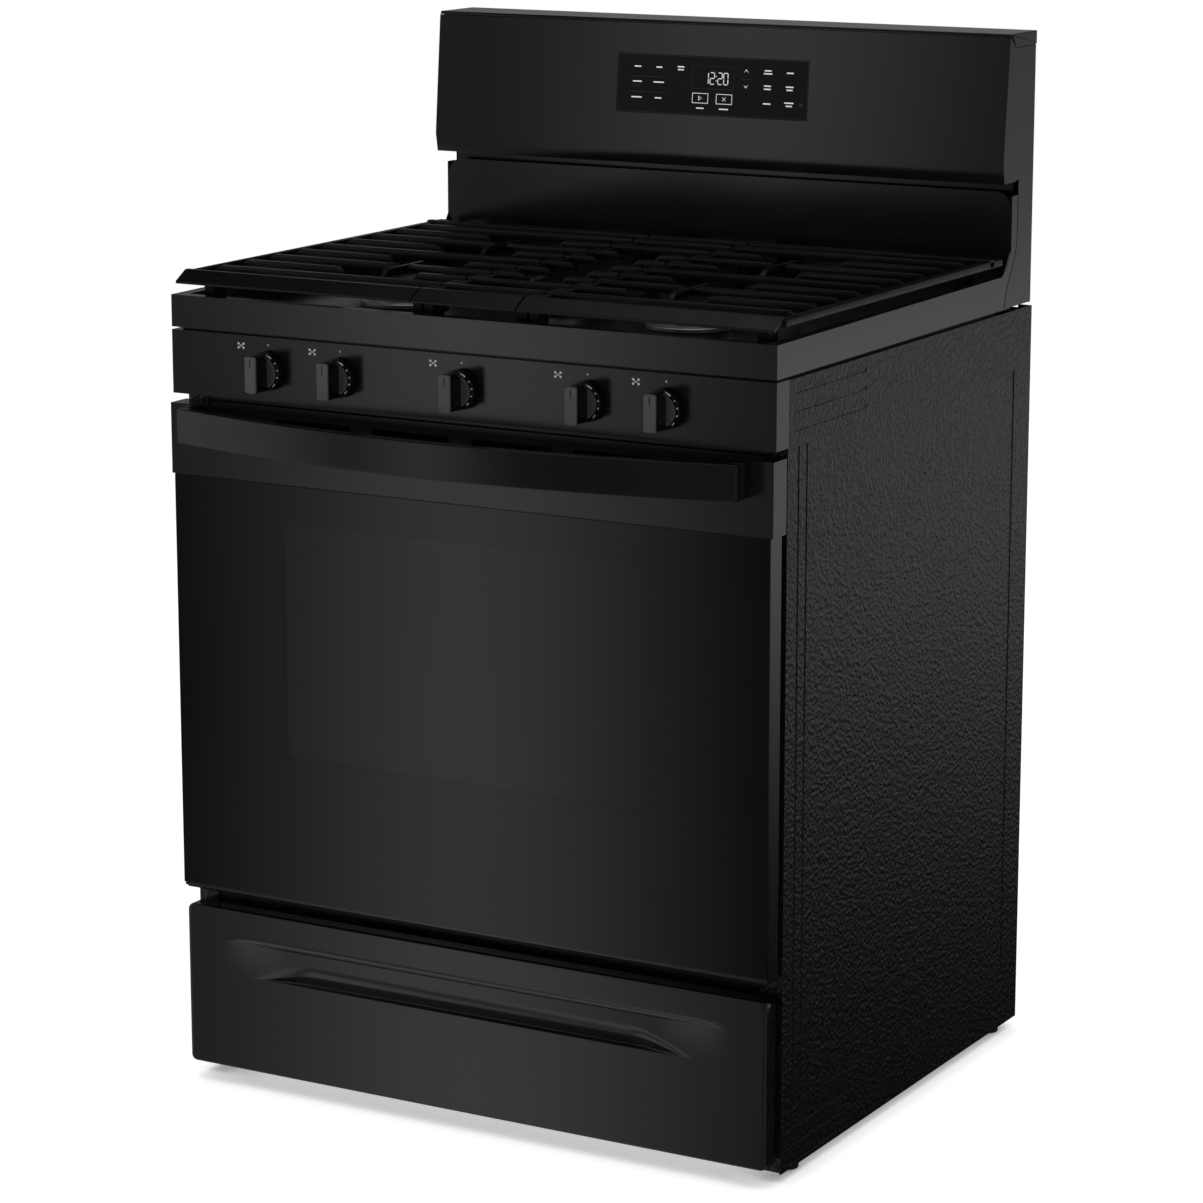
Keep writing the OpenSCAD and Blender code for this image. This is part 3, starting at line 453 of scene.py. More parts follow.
class Shape:
    """A mesh being built, in millimetres behind the knob panel's face."""

    def __init__(self) -> None:
        """Starts with nothing in it."""
        self.mesh = bmesh.new()

    def point(self, spot: Point) -> bmesh.types.BMVert:
        """Adds one point."""
        return self.mesh.verts.new(at(*spot))

    def loft(self, rings: Sequence[Sequence[Point]], capped: bool = True) -> "Shape":
        """Joins closed rings of points into a skin.

        Args:
            rings: Rings with the same number of points each.
            capped: Whether the two end rings are filled.

        Returns:
            The shape itself.
        """
        rows = [[self.point(p) for p in ring] for ring in rings]
        for here, there in zip(rows, rows[1:]):
            for i, _ in enumerate(here):
                j = (i + 1) % len(here)
                self.mesh.faces.new((here[i], here[j], there[j], there[i]))
        if capped:
            self.mesh.faces.new(rows[0][::-1])
            self.mesh.faces.new(rows[-1])
        return self

    def prism(self, way: Way, outline: Sequence[Point], start: float, end: float) -> "Shape":
        """Pushes an outline out along a direction."""
        return self.loft([[along(way, d, a, b) for a, b in outline] for d in (start, end)])

    def block(self, low: Point, high: Point) -> "Shape":
        """Adds a box between two corners."""
        outline = [(low[1], low[2]), (high[1], low[2]), (high[1], high[2]), (low[1], high[2])]
        return self.prism(Way.X, outline, low[0], high[0])

    def turned(self, way: Way, centre: Point, stations: Sequence[Point], sides: int = 48) -> "Shape":
        """Turns a profile about an axis.

        Args:
            way: The axis.
            centre: The two other coordinates of the axis.
            stations: Distance along the axis and radius, one after the other.
            sides: Corners of each ring.

        Returns:
            The shape itself.
        """
        steps = [2 * math.pi * i / sides for i in range(sides)]
        rings = [
            [along(way, d, centre[0] + r * math.cos(t), centre[1] + r * math.sin(t)) for t in steps]
            for d, r in stations
        ]
        return self.loft(rings)

    def grid(self, rows: Sequence[Sequence[Point]]) -> "Shape":
        """Joins rows of points into an open sheet."""
        made = [[self.point(p) for p in row] for row in rows]
        for here, there in zip(made, made[1:]):
            for i in range(len(here) - 1):
                self.mesh.faces.new((here[i], here[i + 1], there[i + 1], there[i]))
        return self

    def path(self, spots: Sequence[Point], crests: Sequence[float] | None = None) -> "Shape":
        """Adds a guide line, with the height that the bar may reach at each of its points."""
        layer = self.mesh.verts.layers.float.get("crest") or self.mesh.verts.layers.float.new("crest")
        made = [self.point(p) for p in spots]
        for vert, crest in zip(made, crests or [9999.0] * len(made)):
            vert[layer] = crest * MM
        for here, there in zip(made, made[1:]):
            self.mesh.edges.new((here, there))
        return self

    def mark(self, spot: Point, turn: Point = (0.0, 0.0, 0.0)) -> "Shape":
        """Adds a guide point, with the turn of what will stand on it in degrees."""
        layers = self.mesh.verts.layers.float_vector
        layer = layers.get("turn") or layers.new("turn")
        self.point(spot)[layer] = Vector([math.radians(a) for a in turn])
        return self

    def guide(self, name: str) -> bpy.types.Object:
        """Turns the lines or points into an object that a node tool can work on."""
        data = bpy.data.meshes.new(name)
        self.mesh.to_mesh(data)
        self.mesh.free()
        made = bpy.data.objects.new(name, data)
        bpy.context.scene.collection.objects.link(made)
        return made

    def solid(self, name: str) -> bpy.types.Object:
        """Merges and turns the faces outwards, and gives the object."""
        bmesh.ops.remove_doubles(self.mesh, verts=self.mesh.verts, dist=0.002 * MM)
        bmesh.ops.recalc_face_normals(self.mesh, faces=self.mesh.faces)
        return self.guide(name)


def ease_edges(piece: bpy.types.Object, width_mm: float, segments: int = 2) -> None:
    """Rounds a piece's sharp edges and shades it smooth."""
    piece.data.shade_smooth()
    bevel = piece.modifiers.new("eased edges", "BEVEL")
    bevel.width = width_mm * MM
    bevel.segments = segments
    bevel.limit_method = "ANGLE"
    bevel.angle_limit = math.radians(28)
    bevel.use_clamp_overlap = True
    flats = piece.modifiers.new("flat faces", "WEIGHTED_NORMAL")
    flats.mode = "FACE_AREA"
    flats.weight = 100


def hand_over(
    piece: bpy.types.Object, body: str, finish: AnyFinish, replaces: Iterable[str] = (), dress: bool = True
) -> bpy.types.Object:
    """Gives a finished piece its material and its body.

    Args:
        piece: The piece, at the origin.
        body: The body that it moves with.
        finish: What it is covered in.
        replaces: The nodes that it stands for.
        dress: Whether its material still has to be set.

    Returns:
        The same piece.
    """
    if dress:
        piece.data.materials.clear()
        piece.data.materials.append(finish.material())
    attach(piece, body)
    names = list(replaces)
    if names:
        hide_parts(*names)
    LOG.info("%s rides on %s, stands for %s", piece.name, body, ", ".join(names) or "nothing")
    return piece


def carry(node: str, finish: AnyFinish, ease_mm: float = 0.6, segments: int = 2) -> bpy.types.Object:
    """Stands a copy of a node with eased edges in for the node.

    Args:
        node: The node's name.
        finish: What it is covered in.
        ease_mm: Radius of its edges.
        segments: Steps around each edge.

    Returns:
        The new piece.
    """
    source = frame["nodes"][node]
    work = bmesh.new()
    work.from_mesh(source.data)
    bmesh.ops.remove_doubles(work, verts=work.verts, dist=0.004 * MM)
    bmesh.ops.dissolve_limit(work, angle_limit=math.radians(0.15), verts=work.verts, edges=work.edges)
    data = bpy.data.meshes.new(f"{node}_skin")
    work.to_mesh(data)
    work.free()
    piece = bpy.data.objects.new(f"{node}_skin", data)
    bpy.context.scene.collection.objects.link(piece)
    ease_edges(piece, ease_mm, segments)
    return hand_over(piece, body_of(source)[0], finish, [node])


class NodeTool:
    """A Geometry Nodes tree that turns a guide into finished pieces of one kind."""

    title = "tool"
    sockets: dict[str, str] = {}

    def __init__(self) -> None:
        """Builds the tree with its named inputs."""
        self.tree = bpy.data.node_groups.new(self.title, "GeometryNodeTree")
        self.tree.is_modifier = True
        face = self.tree.interface
        face.new_socket("Guide", in_out="INPUT", socket_type="NodeSocketGeometry")
        self.keys = {
            name: face.new_socket(name, in_out="INPUT", socket_type=kind).identifier
            for name, kind in {**self.sockets, "Finish": "NodeSocketMaterial"}.items()
        }
        face.new_socket("Piece", in_out="OUTPUT", socket_type="NodeSocketGeometry")
        given = add_node(self.tree, "NodeGroupInput")
        real = add_node(self.tree, "GeometryNodeRealizeInstances", None, {0: self.wire(given)})
        dressed = add_node(
            self.tree,
            "GeometryNodeSetMaterial",
            None,
            {"Geometry": real.outputs[0], "Material": given.outputs["Finish"]},
        )
        add_node(self.tree, "NodeGroupOutput", None, {0: dressed.outputs[0]})

    def wire(self, given: bpy.types.Node) -> bpy.types.NodeSocket:
        """Adds the nodes between the guide and the piece."""
        raise NotImplementedError

    def run(self, guide: bpy.types.Object, finish: Finish, **values: Any) -> bpy.types.Object:
        """Works on a guide and leaves a plain mesh in its place.

        Args:
            guide: The guide's object, which becomes the piece.
            finish: What the piece is covered in.
            values: A value for each named input.

        Returns:
            The guide's object, now with the finished mesh.
        """
        work = guide.modifiers.new("work", "NODES")
        work.node_group = self.tree
        work[self.keys["Finish"]] = finish.material()
        for name, value in values.items():
            work[self.keys[name]] = value
        guide.update_tag()
        graph = bpy.context.evaluated_depsgraph_get()
        mesh = bpy.data.meshes.new_from_object(guide.evaluated_get(graph), depsgraph=graph)
        guide.modifiers.clear()
        guide.data = mesh
        guide.data.shade_smooth()
        return guide


class BarTool(NodeTool):
    """Casts a bar with rounded edges along each guide line, cut down to its crest."""

    title = "cast bars"
    sockets = {"Width": "NodeSocketFloat", "Height": "NodeSocketFloat", "Edge": "NodeSocketFloat"}

    def wire(self, given: bpy.types.Node) -> bpy.types.NodeSocket:
        """Sweeps a round-cornered section and lowers what stands above the crest."""
        tree = self.tree
        lines = add_node(tree, "GeometryNodeMeshToCurve", None, {0: given.outputs["Guide"]})
        upright = add_node(tree, "GeometryNodeSetCurveNormal", {"mode": "Z_UP"}, {0: lines.outputs[0]})
        box = add_node(
            tree,
            "GeometryNodeCurvePrimitiveQuadrilateral",
            None,
            {"Width": given.outputs["Width"], "Height": given.outputs["Height"]},
        )
        soft = add_node(
            tree,
            "GeometryNodeFilletCurve",
            {"mode": "POLY"},
            {"Curve": box.outputs[0], "Count": 3, "Radius": given.outputs["Edge"]},
        )
        swept = add_node(
            tree,
            "GeometryNodeCurveToMesh",
            None,
            {"Curve": upright.outputs[0], "Profile Curve": soft.outputs[0], "Fill Caps": True},
        )
        spot = add_node(tree, "GeometryNodeInputPosition")
        parts = add_node(tree, "ShaderNodeSeparateXYZ", None, {0: spot.outputs[0]})
        crest = add_node(tree, "GeometryNodeInputNamedAttribute", {"data_type": "FLOAT"}, {"Name": "crest"})
        low = add_node(tree, "ShaderNodeMath", {"operation": "MINIMUM"}, {0: parts.outputs[2], 1: crest.outputs[0]})
        back = add_node(
            tree, "ShaderNodeCombineXYZ", None, {0: parts.outputs[0], 1: parts.outputs[1], 2: low.outputs[0]}
        )
        return add_node(
            tree, "GeometryNodeSetPosition", None, {"Geometry": swept.outputs[0], "Position": back.outputs[0]}
        ).outputs[0]


class WireTool(NodeTool):
    """Draws a round wire along each guide line."""

    title = "drawn wires"
    sockets = {"Radius": "NodeSocketFloat", "Sides": "NodeSocketInt"}

    def wire(self, given: bpy.types.Node) -> bpy.types.NodeSocket:
        """Sweeps a circle."""
        tree = self.tree
        lines = add_node(tree, "GeometryNodeMeshToCurve", None, {0: given.outputs["Guide"]})
        ring = add_node(
            tree,
            "GeometryNodeCurvePrimitiveCircle",
            None,
            {"Resolution": given.outputs["Sides"], "Radius": given.outputs["Radius"]},
        )
        return add_node(
            tree,
            "GeometryNodeCurveToMesh",
            None,
            {"Curve": lines.outputs[0], "Profile Curve": ring.outputs[0], "Fill Caps": True},
        ).outputs[0]


class ScatterTool(NodeTool):
    """Stands a copy of a template on each guide point."""

    title = "set in rows"
    sockets = {"Template": "NodeSocketObject"}

    def wire(self, given: bpy.types.Node) -> bpy.types.NodeSocket:
        """Puts an instance on each point with that point's turn."""
        tree = self.tree
        model = add_node(
            tree, "GeometryNodeObjectInfo", {"transform_space": "ORIGINAL"}, {"Object": given.outputs["Template"]}
        )
        turn = add_node(tree, "GeometryNodeInputNamedAttribute", {"data_type": "FLOAT_VECTOR"}, {"Name": "turn"})
        spun = add_node(tree, "FunctionNodeEulerToRotation", None, {0: turn.outputs[0]})
        return add_node(
            tree,
            "GeometryNodeInstanceOnPoints",
            None,
            {"Points": given.outputs["Guide"], "Instance": model.outputs["Geometry"], "Rotation": spun.outputs[0]},
        ).outputs[0]


@dataclass
class Workshop:
    """The node tools, built once."""

    bars: BarTool = field(default_factory=BarTool)
    wires: WireTool = field(default_factory=WireTool)
    scatter: ScatterTool = field(default_factory=ScatterTool)

    def set_out(self, name: str, template: Shape, guide: Shape, finish: Finish) -> bpy.types.Object:
        """Copies a template, built about the frame's origin, onto every guide point.

        Args:
            name: The piece's name.
            template: The shape that repeats.
            guide: The points.
            finish: What the copies are covered in.

        Returns:
            One piece that holds all copies.
        """
        model = template.solid("template")
        for vert in model.data.vertices:
            vert.co.y -= FRONT
        made = self.scatter.run(guide.guide(name), finish, Template=model)
        bpy.data.objects.remove(model)
        return made


def dress(nodes: Iterable[str], finish: AnyFinish) -> None:
    """Covers nodes that stay as they are."""
    for name in nodes:
        for place in frame["nodes"][name].material_slots:
            place.material = finish.material()
        LOG.info("%s keeps its shape in %s", name, finish.name)


# ---- sub-assemblies ----


@dataclass
class Cabinet:
    """The body's outside: sides, back, base and feet."""

    back_y: float = 640.0
    console_back_y: float = 645.0
    column_x: float = 365.0
    ease: float = 0.45

    def hex_screw(self) -> Shape:
        """Gives a hexagon screw with its washer, pointing back."""
        made = Shape().turned(Way.Y, (0, 0), [(-0.4, 5.2), (0.6, 5.2), (0.9, 4.6)], 20)
        return made.turned(Way.Y, (0, 0), [(0.7, 3.9), (2.6, 3.9), (3.0, 3.2)], 6)

    def hood(self, half: float) -> Shape:
        """Gives the pressed hood over a vent slot, from its section."""
        section = [(-0.5, 7.4), (-0.5, 9.4), (1.6, 9.0), (3.4, 7.4), (4.2, 4.6), (4.2, 3.2), (3.4, 3.2), (2.9, 5.6)]
        section.append((1.4, 7.2))
        return Shape().prism(Way.X, section, -half, half)

    def screws(self, shop: "Workshop") -> None:
        """Sets the screws down the two edges and along the top of the back."""
        spots = Shape()
        for side in (-1, 1):
            for step in range(6):
                spots.mark((side * self.column_x, self.back_y, 90 + 150 * step))
            for z in (900, 1030, 1160):
                spots.mark((side * self.column_x, self.console_back_y, z))
        for x in (-240, -80, 80, 240):
            spots.mark((x, self.back_y, 860))
        screws = shop.set_out("rear_hex_screws", self.hex_screw(), spots, STEEL)
        hand_over(screws, "range_body", STEEL, ["rear_screws"], False)

    def vents(self, shop: "Workshop") -> None:
        """Presses a hood over every slot in the back."""
        rows = (
            ("wide_vent_hoods", 22.0, self.back_y, range(-300, 301, 60), (560, 585)),
            ("flue_vent_hoods", 16.0, self.back_y, range(-120, 121, 40), (780, 800)),
            ("console_vent_hoods", 11.5, self.console_back_y, range(-120, 121, 30), (1130,)),
        )
        for name, half, y, xs, zs in rows:
            spots = Shape()
            for x in xs:
                for z in zs:
                    spots.mark((x, y, z))
            hand_over(shop.set_out(name, self.hood(half), spots, ZINC), "range_body", ZINC, (), False)

    def build(self, shop: "Workshop") -> None:
        """Makes every piece of the cabinet."""
        for node in ("side_panel_left", "side_panel_right"):
            carry(node, TEXTURED, self.ease)
        for node in ("rear_panel", "console_rear_cover", "base_frame"):
            carry(node, ZINC, 0.3)
        carry("front_frame", PORCELAIN, 0.5)
        carry("leveling_feet", PLASTIC, 0.8)
        carry("cord_bushing", PLASTIC, 0.5)
        carry("flue_duct", ZINC, 0.3)
        carry("gas_regulator", ALUMINIUM, 1.2)
        self.screws(shop)
        self.vents(shop)


@dataclass
class Burners:
    """Five sealed burners: pale ported heads under black caps."""

    outer: tuple[tuple[float, float], ...] = ((-183, 177), (183, 177), (-183, 391), (183, 391))
    middle_y: float = 284.0
    half_length: float = 62.0
    seat_z: float = 896.0
    ring_r: float = 40.0
    base_r: float = 50.0
    ports: int = 36

    def stadium(self, r: float, z: float) -> list[Point]:
        """Gives the long outline of the middle burner, a distance r from its middle line."""
        ring: list[Point] = []
        for end, start in ((1, 0.0), (-1, math.pi)):
            for step in range(17):
                a = start + math.pi * step / 16
                ring.append((r * math.cos(a), self.middle_y + end * self.half_length + r * math.sin(a), z))
        return ring

    def heads(self) -> bpy.types.Object:
        """Casts the heads, with a groove where the ports stand."""
        made = Shape()
        z = self.seat_z
        r = self.ring_r
        profile = [(z, self.base_r), (z + 4, self.base_r), (z + 5, self.base_r - 1.4), (z + 5.2, r)]
        profile += [(z + 7.6, r), (z + 7.6, r - 3), (z + 12.4, r - 3), (z + 12.4, r), (z + 14.4, r), (z + 15, r - 1)]
        for x, y in self.outer:
            made.turned(Way.Z, (x, y), profile, 64)
            made.turned(Way.Z, (x, y), [(z - 22, 17.6), (z + 0.5, 17.6)], 32)
        steps = [(27, 0), (27, 4), (25.4, 5), (25.4, 6), (22.6, 6), (22.6, 10.6), (25.4, 10.6), (25.4, 12.4)]
        steps.append((24.6, 13))
        made.loft([self.stadium(wide, z + rise) for wide, rise in steps])
        piece = made.solid("burner_heads_cast")
        ease_edges(piece, 0.5)
        return piece

    def port_walls(self, shop: "Workshop") -> bpy.types.Object:
        """Stands the walls between the ports around every head."""
        spots = Shape()
        for x, y in self.outer:
            for step in range(self.ports):
                spots.mark((x, y, self.seat_z), (0, 0, 360 * step / self.ports))
        rows = int(2 * self.half_length / 6.6)
        for side, turn in ((1, -90), (-1, 90)):
            for step in range(rows + 1):
                y = self.middle_y - self.half_length + 2 * self.half_length * step / rows
                spots.mark((side * (25.4 - self.ring_r), y, self.seat_z), (0, 0, turn))
        wall = Shape().block((-2.0, self.ring_r - 3.4, 7.4), (2.0, self.ring_r - 0.1, 12.6))
        return shop.set_out("burner_port_walls", wall, spots, ALUMINIUM)

    def caps(self) -> bpy.types.Object:
        """Presses the caps, slightly crowned."""
        made = Shape()
        z = self.seat_z + 15
        r = self.ring_r - 1
        for x, y in self.outer:
            made.turned(Way.Z, (x, y), [(z, r - 1), (z + 0.6, r), (z + 2.6, r), (z + 3.5, r - 1.6), (z + 3.9, r - 4),
                                        (z + 4.15, r - 14), (z + 4.2, 1)], 64)
        low = self.seat_z + 13
        made.loft([self.stadium(a, b) for a, b in ((24, low), (25, low + 0.6), (25, low + 3.4), (23.6, low + 4.5),
                                                   (20, low + 4.9), (2, low + 5))])
        piece = made.solid("burner_caps_pressed")
        piece.data.shade_smooth()
        ease_edges(piece, 0.3)
        return piece

    def igniters(self) -> bpy.types.Object:
        """Stands a ceramic post with its wire tip beside each head."""
        made = Shape()
        spots = [(x, y + self.ring_r + 9) for x, y in self.outer] + [(31.5, self.middle_y)]
        for x, y in spots:
            made.turned(Way.Z, (x, y), [(self.seat_z, 4), (self.seat_z + 7, 3.6), (self.seat_z + 8, 2.8)], 20)
            tip = [(self.seat_z + 7.8, 1.2), (self.seat_z + 12.6, 1.1), (self.seat_z + 13, 0.5)]
            made.turned(Way.Z, (x, y), tip, 10)
        piece = made.solid("igniter_posts")
        ease_edges(piece, 0.3)
        return piece

    def build(self, shop: "Workshop") -> None:
        """Makes the cooktop sheet and all burners."""
        carry("cooktop", PORCELAIN, 1.3, 3)
        hand_over(self.heads(), "range_body", ALUMINIUM, ["burner_heads"])
        hand_over(self.port_walls(shop), "range_body", ALUMINIUM, (), False)
        hand_over(self.caps(), "range_body", CAP, ["burner_caps"])
        hand_over(self.igniters(), "range_body", LAMP)


class BarEnd(Enum):
    """How a grate bar stops, as how far back its crest starts to fall and how low it gets."""

    SQUARE = (1.0, 1.0)
    CHAMFER = (7.0, 6.5)
    SLOPE = (12.0, 7.5)


@dataclass
class Grates:
    """Three cast grates: parallel bars between rails, a sloping skirt in front and feet."""

    top_z: float = 940.0
    bar_w: float = 9.0
    bar_h: float = 9.0
    finger_w: float = 6.6
    first_y: float = 70.0
    pitch: float = 53.4
    rear_y: float = 537.0
    seam_x: float = 66.0
    rail_x: float = 376.0
    burner_x: float = 183.0
    burner_gap: float = 46.5
    deck_z: float = 893.2

    def bar(self, shape: Shape, x0: float, x1: float, y: float, left: BarEnd, right: BarEnd) -> None:
        """Adds one bar's guide line, from left to right."""
        (back0, drop0), (back1, drop1) = left.value, right.value
        z = self.top_z - self.bar_h / 2
        top = self.top_z
        shape.path(
            [(x0, y, z), (x0 + back0, y, z), (x1 - back1, y, z), (x1, y, z)], [top - drop0, top, top, top - drop1]
        )

    def rail(self, shape: Shape, x: float, y0: float, y1: float, top: float) -> None:
        """Adds a guide line from front to back."""
        z = top - self.bar_h / 2
        shape.path([(x, y0, z), (x, y0 + 3, z), (x, y1 - 3, z), (x, y1, z)], [top - 2.5, top, top, top - 2.5])

    def outer_bars(self, side: int) -> Shape:
        """Lays out the bars of a left or right grate.

        Args:
            side: 1 for the right one, -1 for the left one.

        Returns:
            The guide lines.
        """
        made = Shape()
        inner, outer = self.seam_x + 1, self.rail_x - 8

        def add(near: float, far: float, y: float, near_end: BarEnd, far_end: BarEnd) -> None:
            """Adds a bar from its inner to its outer end, on the grate's own side."""
            if side > 0:
                self.bar(made, near, far, y, near_end, far_end)
            else:
                self.bar(made, -far, -near, y, far_end, near_end)

        for k in range(9):
            y = self.first_y + k * self.pitch
            if k % 4 == 0:
                add(inner, outer, y, BarEnd.SQUARE, BarEnd.SLOPE)
                continue
            gap = 3.0 if k in (2, 6) else self.burner_gap
            add(inner, self.burner_x - gap, y, BarEnd.SQUARE, BarEnd.CHAMFER)
            add(self.burner_x + gap, outer, y, BarEnd.CHAMFER, BarEnd.SLOPE)
        add(inner, self.rail_x, self.rear_y, BarEnd.SQUARE, BarEnd.SQUARE)
        self.rail(made, side * (self.rail_x - self.bar_w / 2), 24, 566, self.top_z - 2)
        self.rail(made, side * (inner + self.bar_w / 2), 24, 546, self.top_z - 3)
        return made

    def fingers(self, side: int) -> Shape:
        """Lays out the two short bars that cross the middle of the burners, front to back."""
        made = Shape()
        top = self.top_z - 1
        z = top - self.bar_h / 2
        x = side * self.burner_x
        for k in (2, 6):
            y = self.first_y + k * self.pitch
            made.path([(x, y - 47, z), (x, y - 39, z), (x, y + 39, z), (x, y + 47, z)], [top - 7, top, top, top - 7])
        return made

    def middle_bars(self) -> Shape:
        """Lays out the bars of the middle grate."""
        made = Shape()
        edge = self.seam_x - 1
        for k in range(9):
            y = self.first_y + k * self.pitch
            if 2 <= k <= 6:
                self.bar(made, 22, edge, y, BarEnd.CHAMFER, BarEnd.SQUARE)
                self.bar(made, -edge, -22, y, BarEnd.SQUARE, BarEnd.CHAMFER)
            else:
                self.bar(made, -edge, edge, y, BarEnd.SQUARE, BarEnd.SQUARE)
        self.bar(made, -edge, edge, self.rear_y, BarEnd.SQUARE, BarEnd.SQUARE)
        for side in (-1, 1):
            self.rail(made, side * (edge - self.bar_w / 2), 24, 546, self.top_z - 3)
        return made

    def edge_frame(self, name: str, x0: float, x1: float, feet: Sequence[tuple[float, float]]) -> bpy.types.Object:
        """Casts the sloping skirt and the feet of one grate."""
        top = self.top_z
        outer = [(2, top - 13.6), (2, top - 11.4), (3, top - 10.4), (20.6, top), (27, top)]
        inner = [(27, top - 4), (22, top - 4), (5, top - 14), (2.6, top - 14)]
        made = Shape().prism(Way.X, outer + inner, x0, x1)
        for low, high in feet:
            for y in (40.0, self.rear_y - 12):
                made.loft([[(low + a, y - 12 + a, z), (high - a, y - 12 + a, z), (high - a, y + 12 - a, z),
                            (low + a, y + 12 - a, z)] for z, a in ((self.deck_z, 1.5), (top - self.bar_h + 0.5, 0.0))])
            if abs(low) > self.burner_x:
                end = math.copysign(self.rail_x - 8, low)
                made.block((min(low, end), 36, top - self.bar_h), (max(high, end), 44, top - 4))
        piece = made.solid(name)
        ease_edges(piece, 1.0, 3)
        return piece

    def build(self, shop: "Workshop") -> None:
        """Casts the three grates."""
        inner = self.seam_x + 1
        foot = (self.rail_x - 37, self.rail_x - 23)
        plan = (
            ("left", -1, (3 - self.rail_x, -inner), [(-foot[1], -foot[0]), (-inner - 12, -inner)]),
            ("center", 0, (2 - inner, inner - 2), [(inner - 15, inner - 2), (2 - inner, 15 - inner)]),
            ("right", 1, (inner, self.rail_x - 3), [foot, (inner, inner + 12)]),
        )
        for name, side, ends, feet in plan:
            body = "middle_grate" if side == 0 else f"{name}_grate"
            guide = (self.outer_bars(side) if side else self.middle_bars()).guide(f"grate_{name}_bars")
            bars = shop.bars.run(
                guide, IRON, Width=self.bar_w * MM, Height=self.bar_h * MM, Edge=1.3 * MM
            )
            hand_over(bars, body, IRON, [f"grate_{name}"], False)
            if side:
                guide = self.fingers(side).guide(f"grate_{name}_fingers")
                short = shop.bars.run(
                    guide, IRON, Width=self.finger_w * MM, Height=self.bar_h * MM, Edge=1.0 * MM
                )
                hand_over(short, body, IRON, (), False)
            hand_over(self.edge_frame(f"grate_{name}_skirt", *ends, feet), body, IRON)


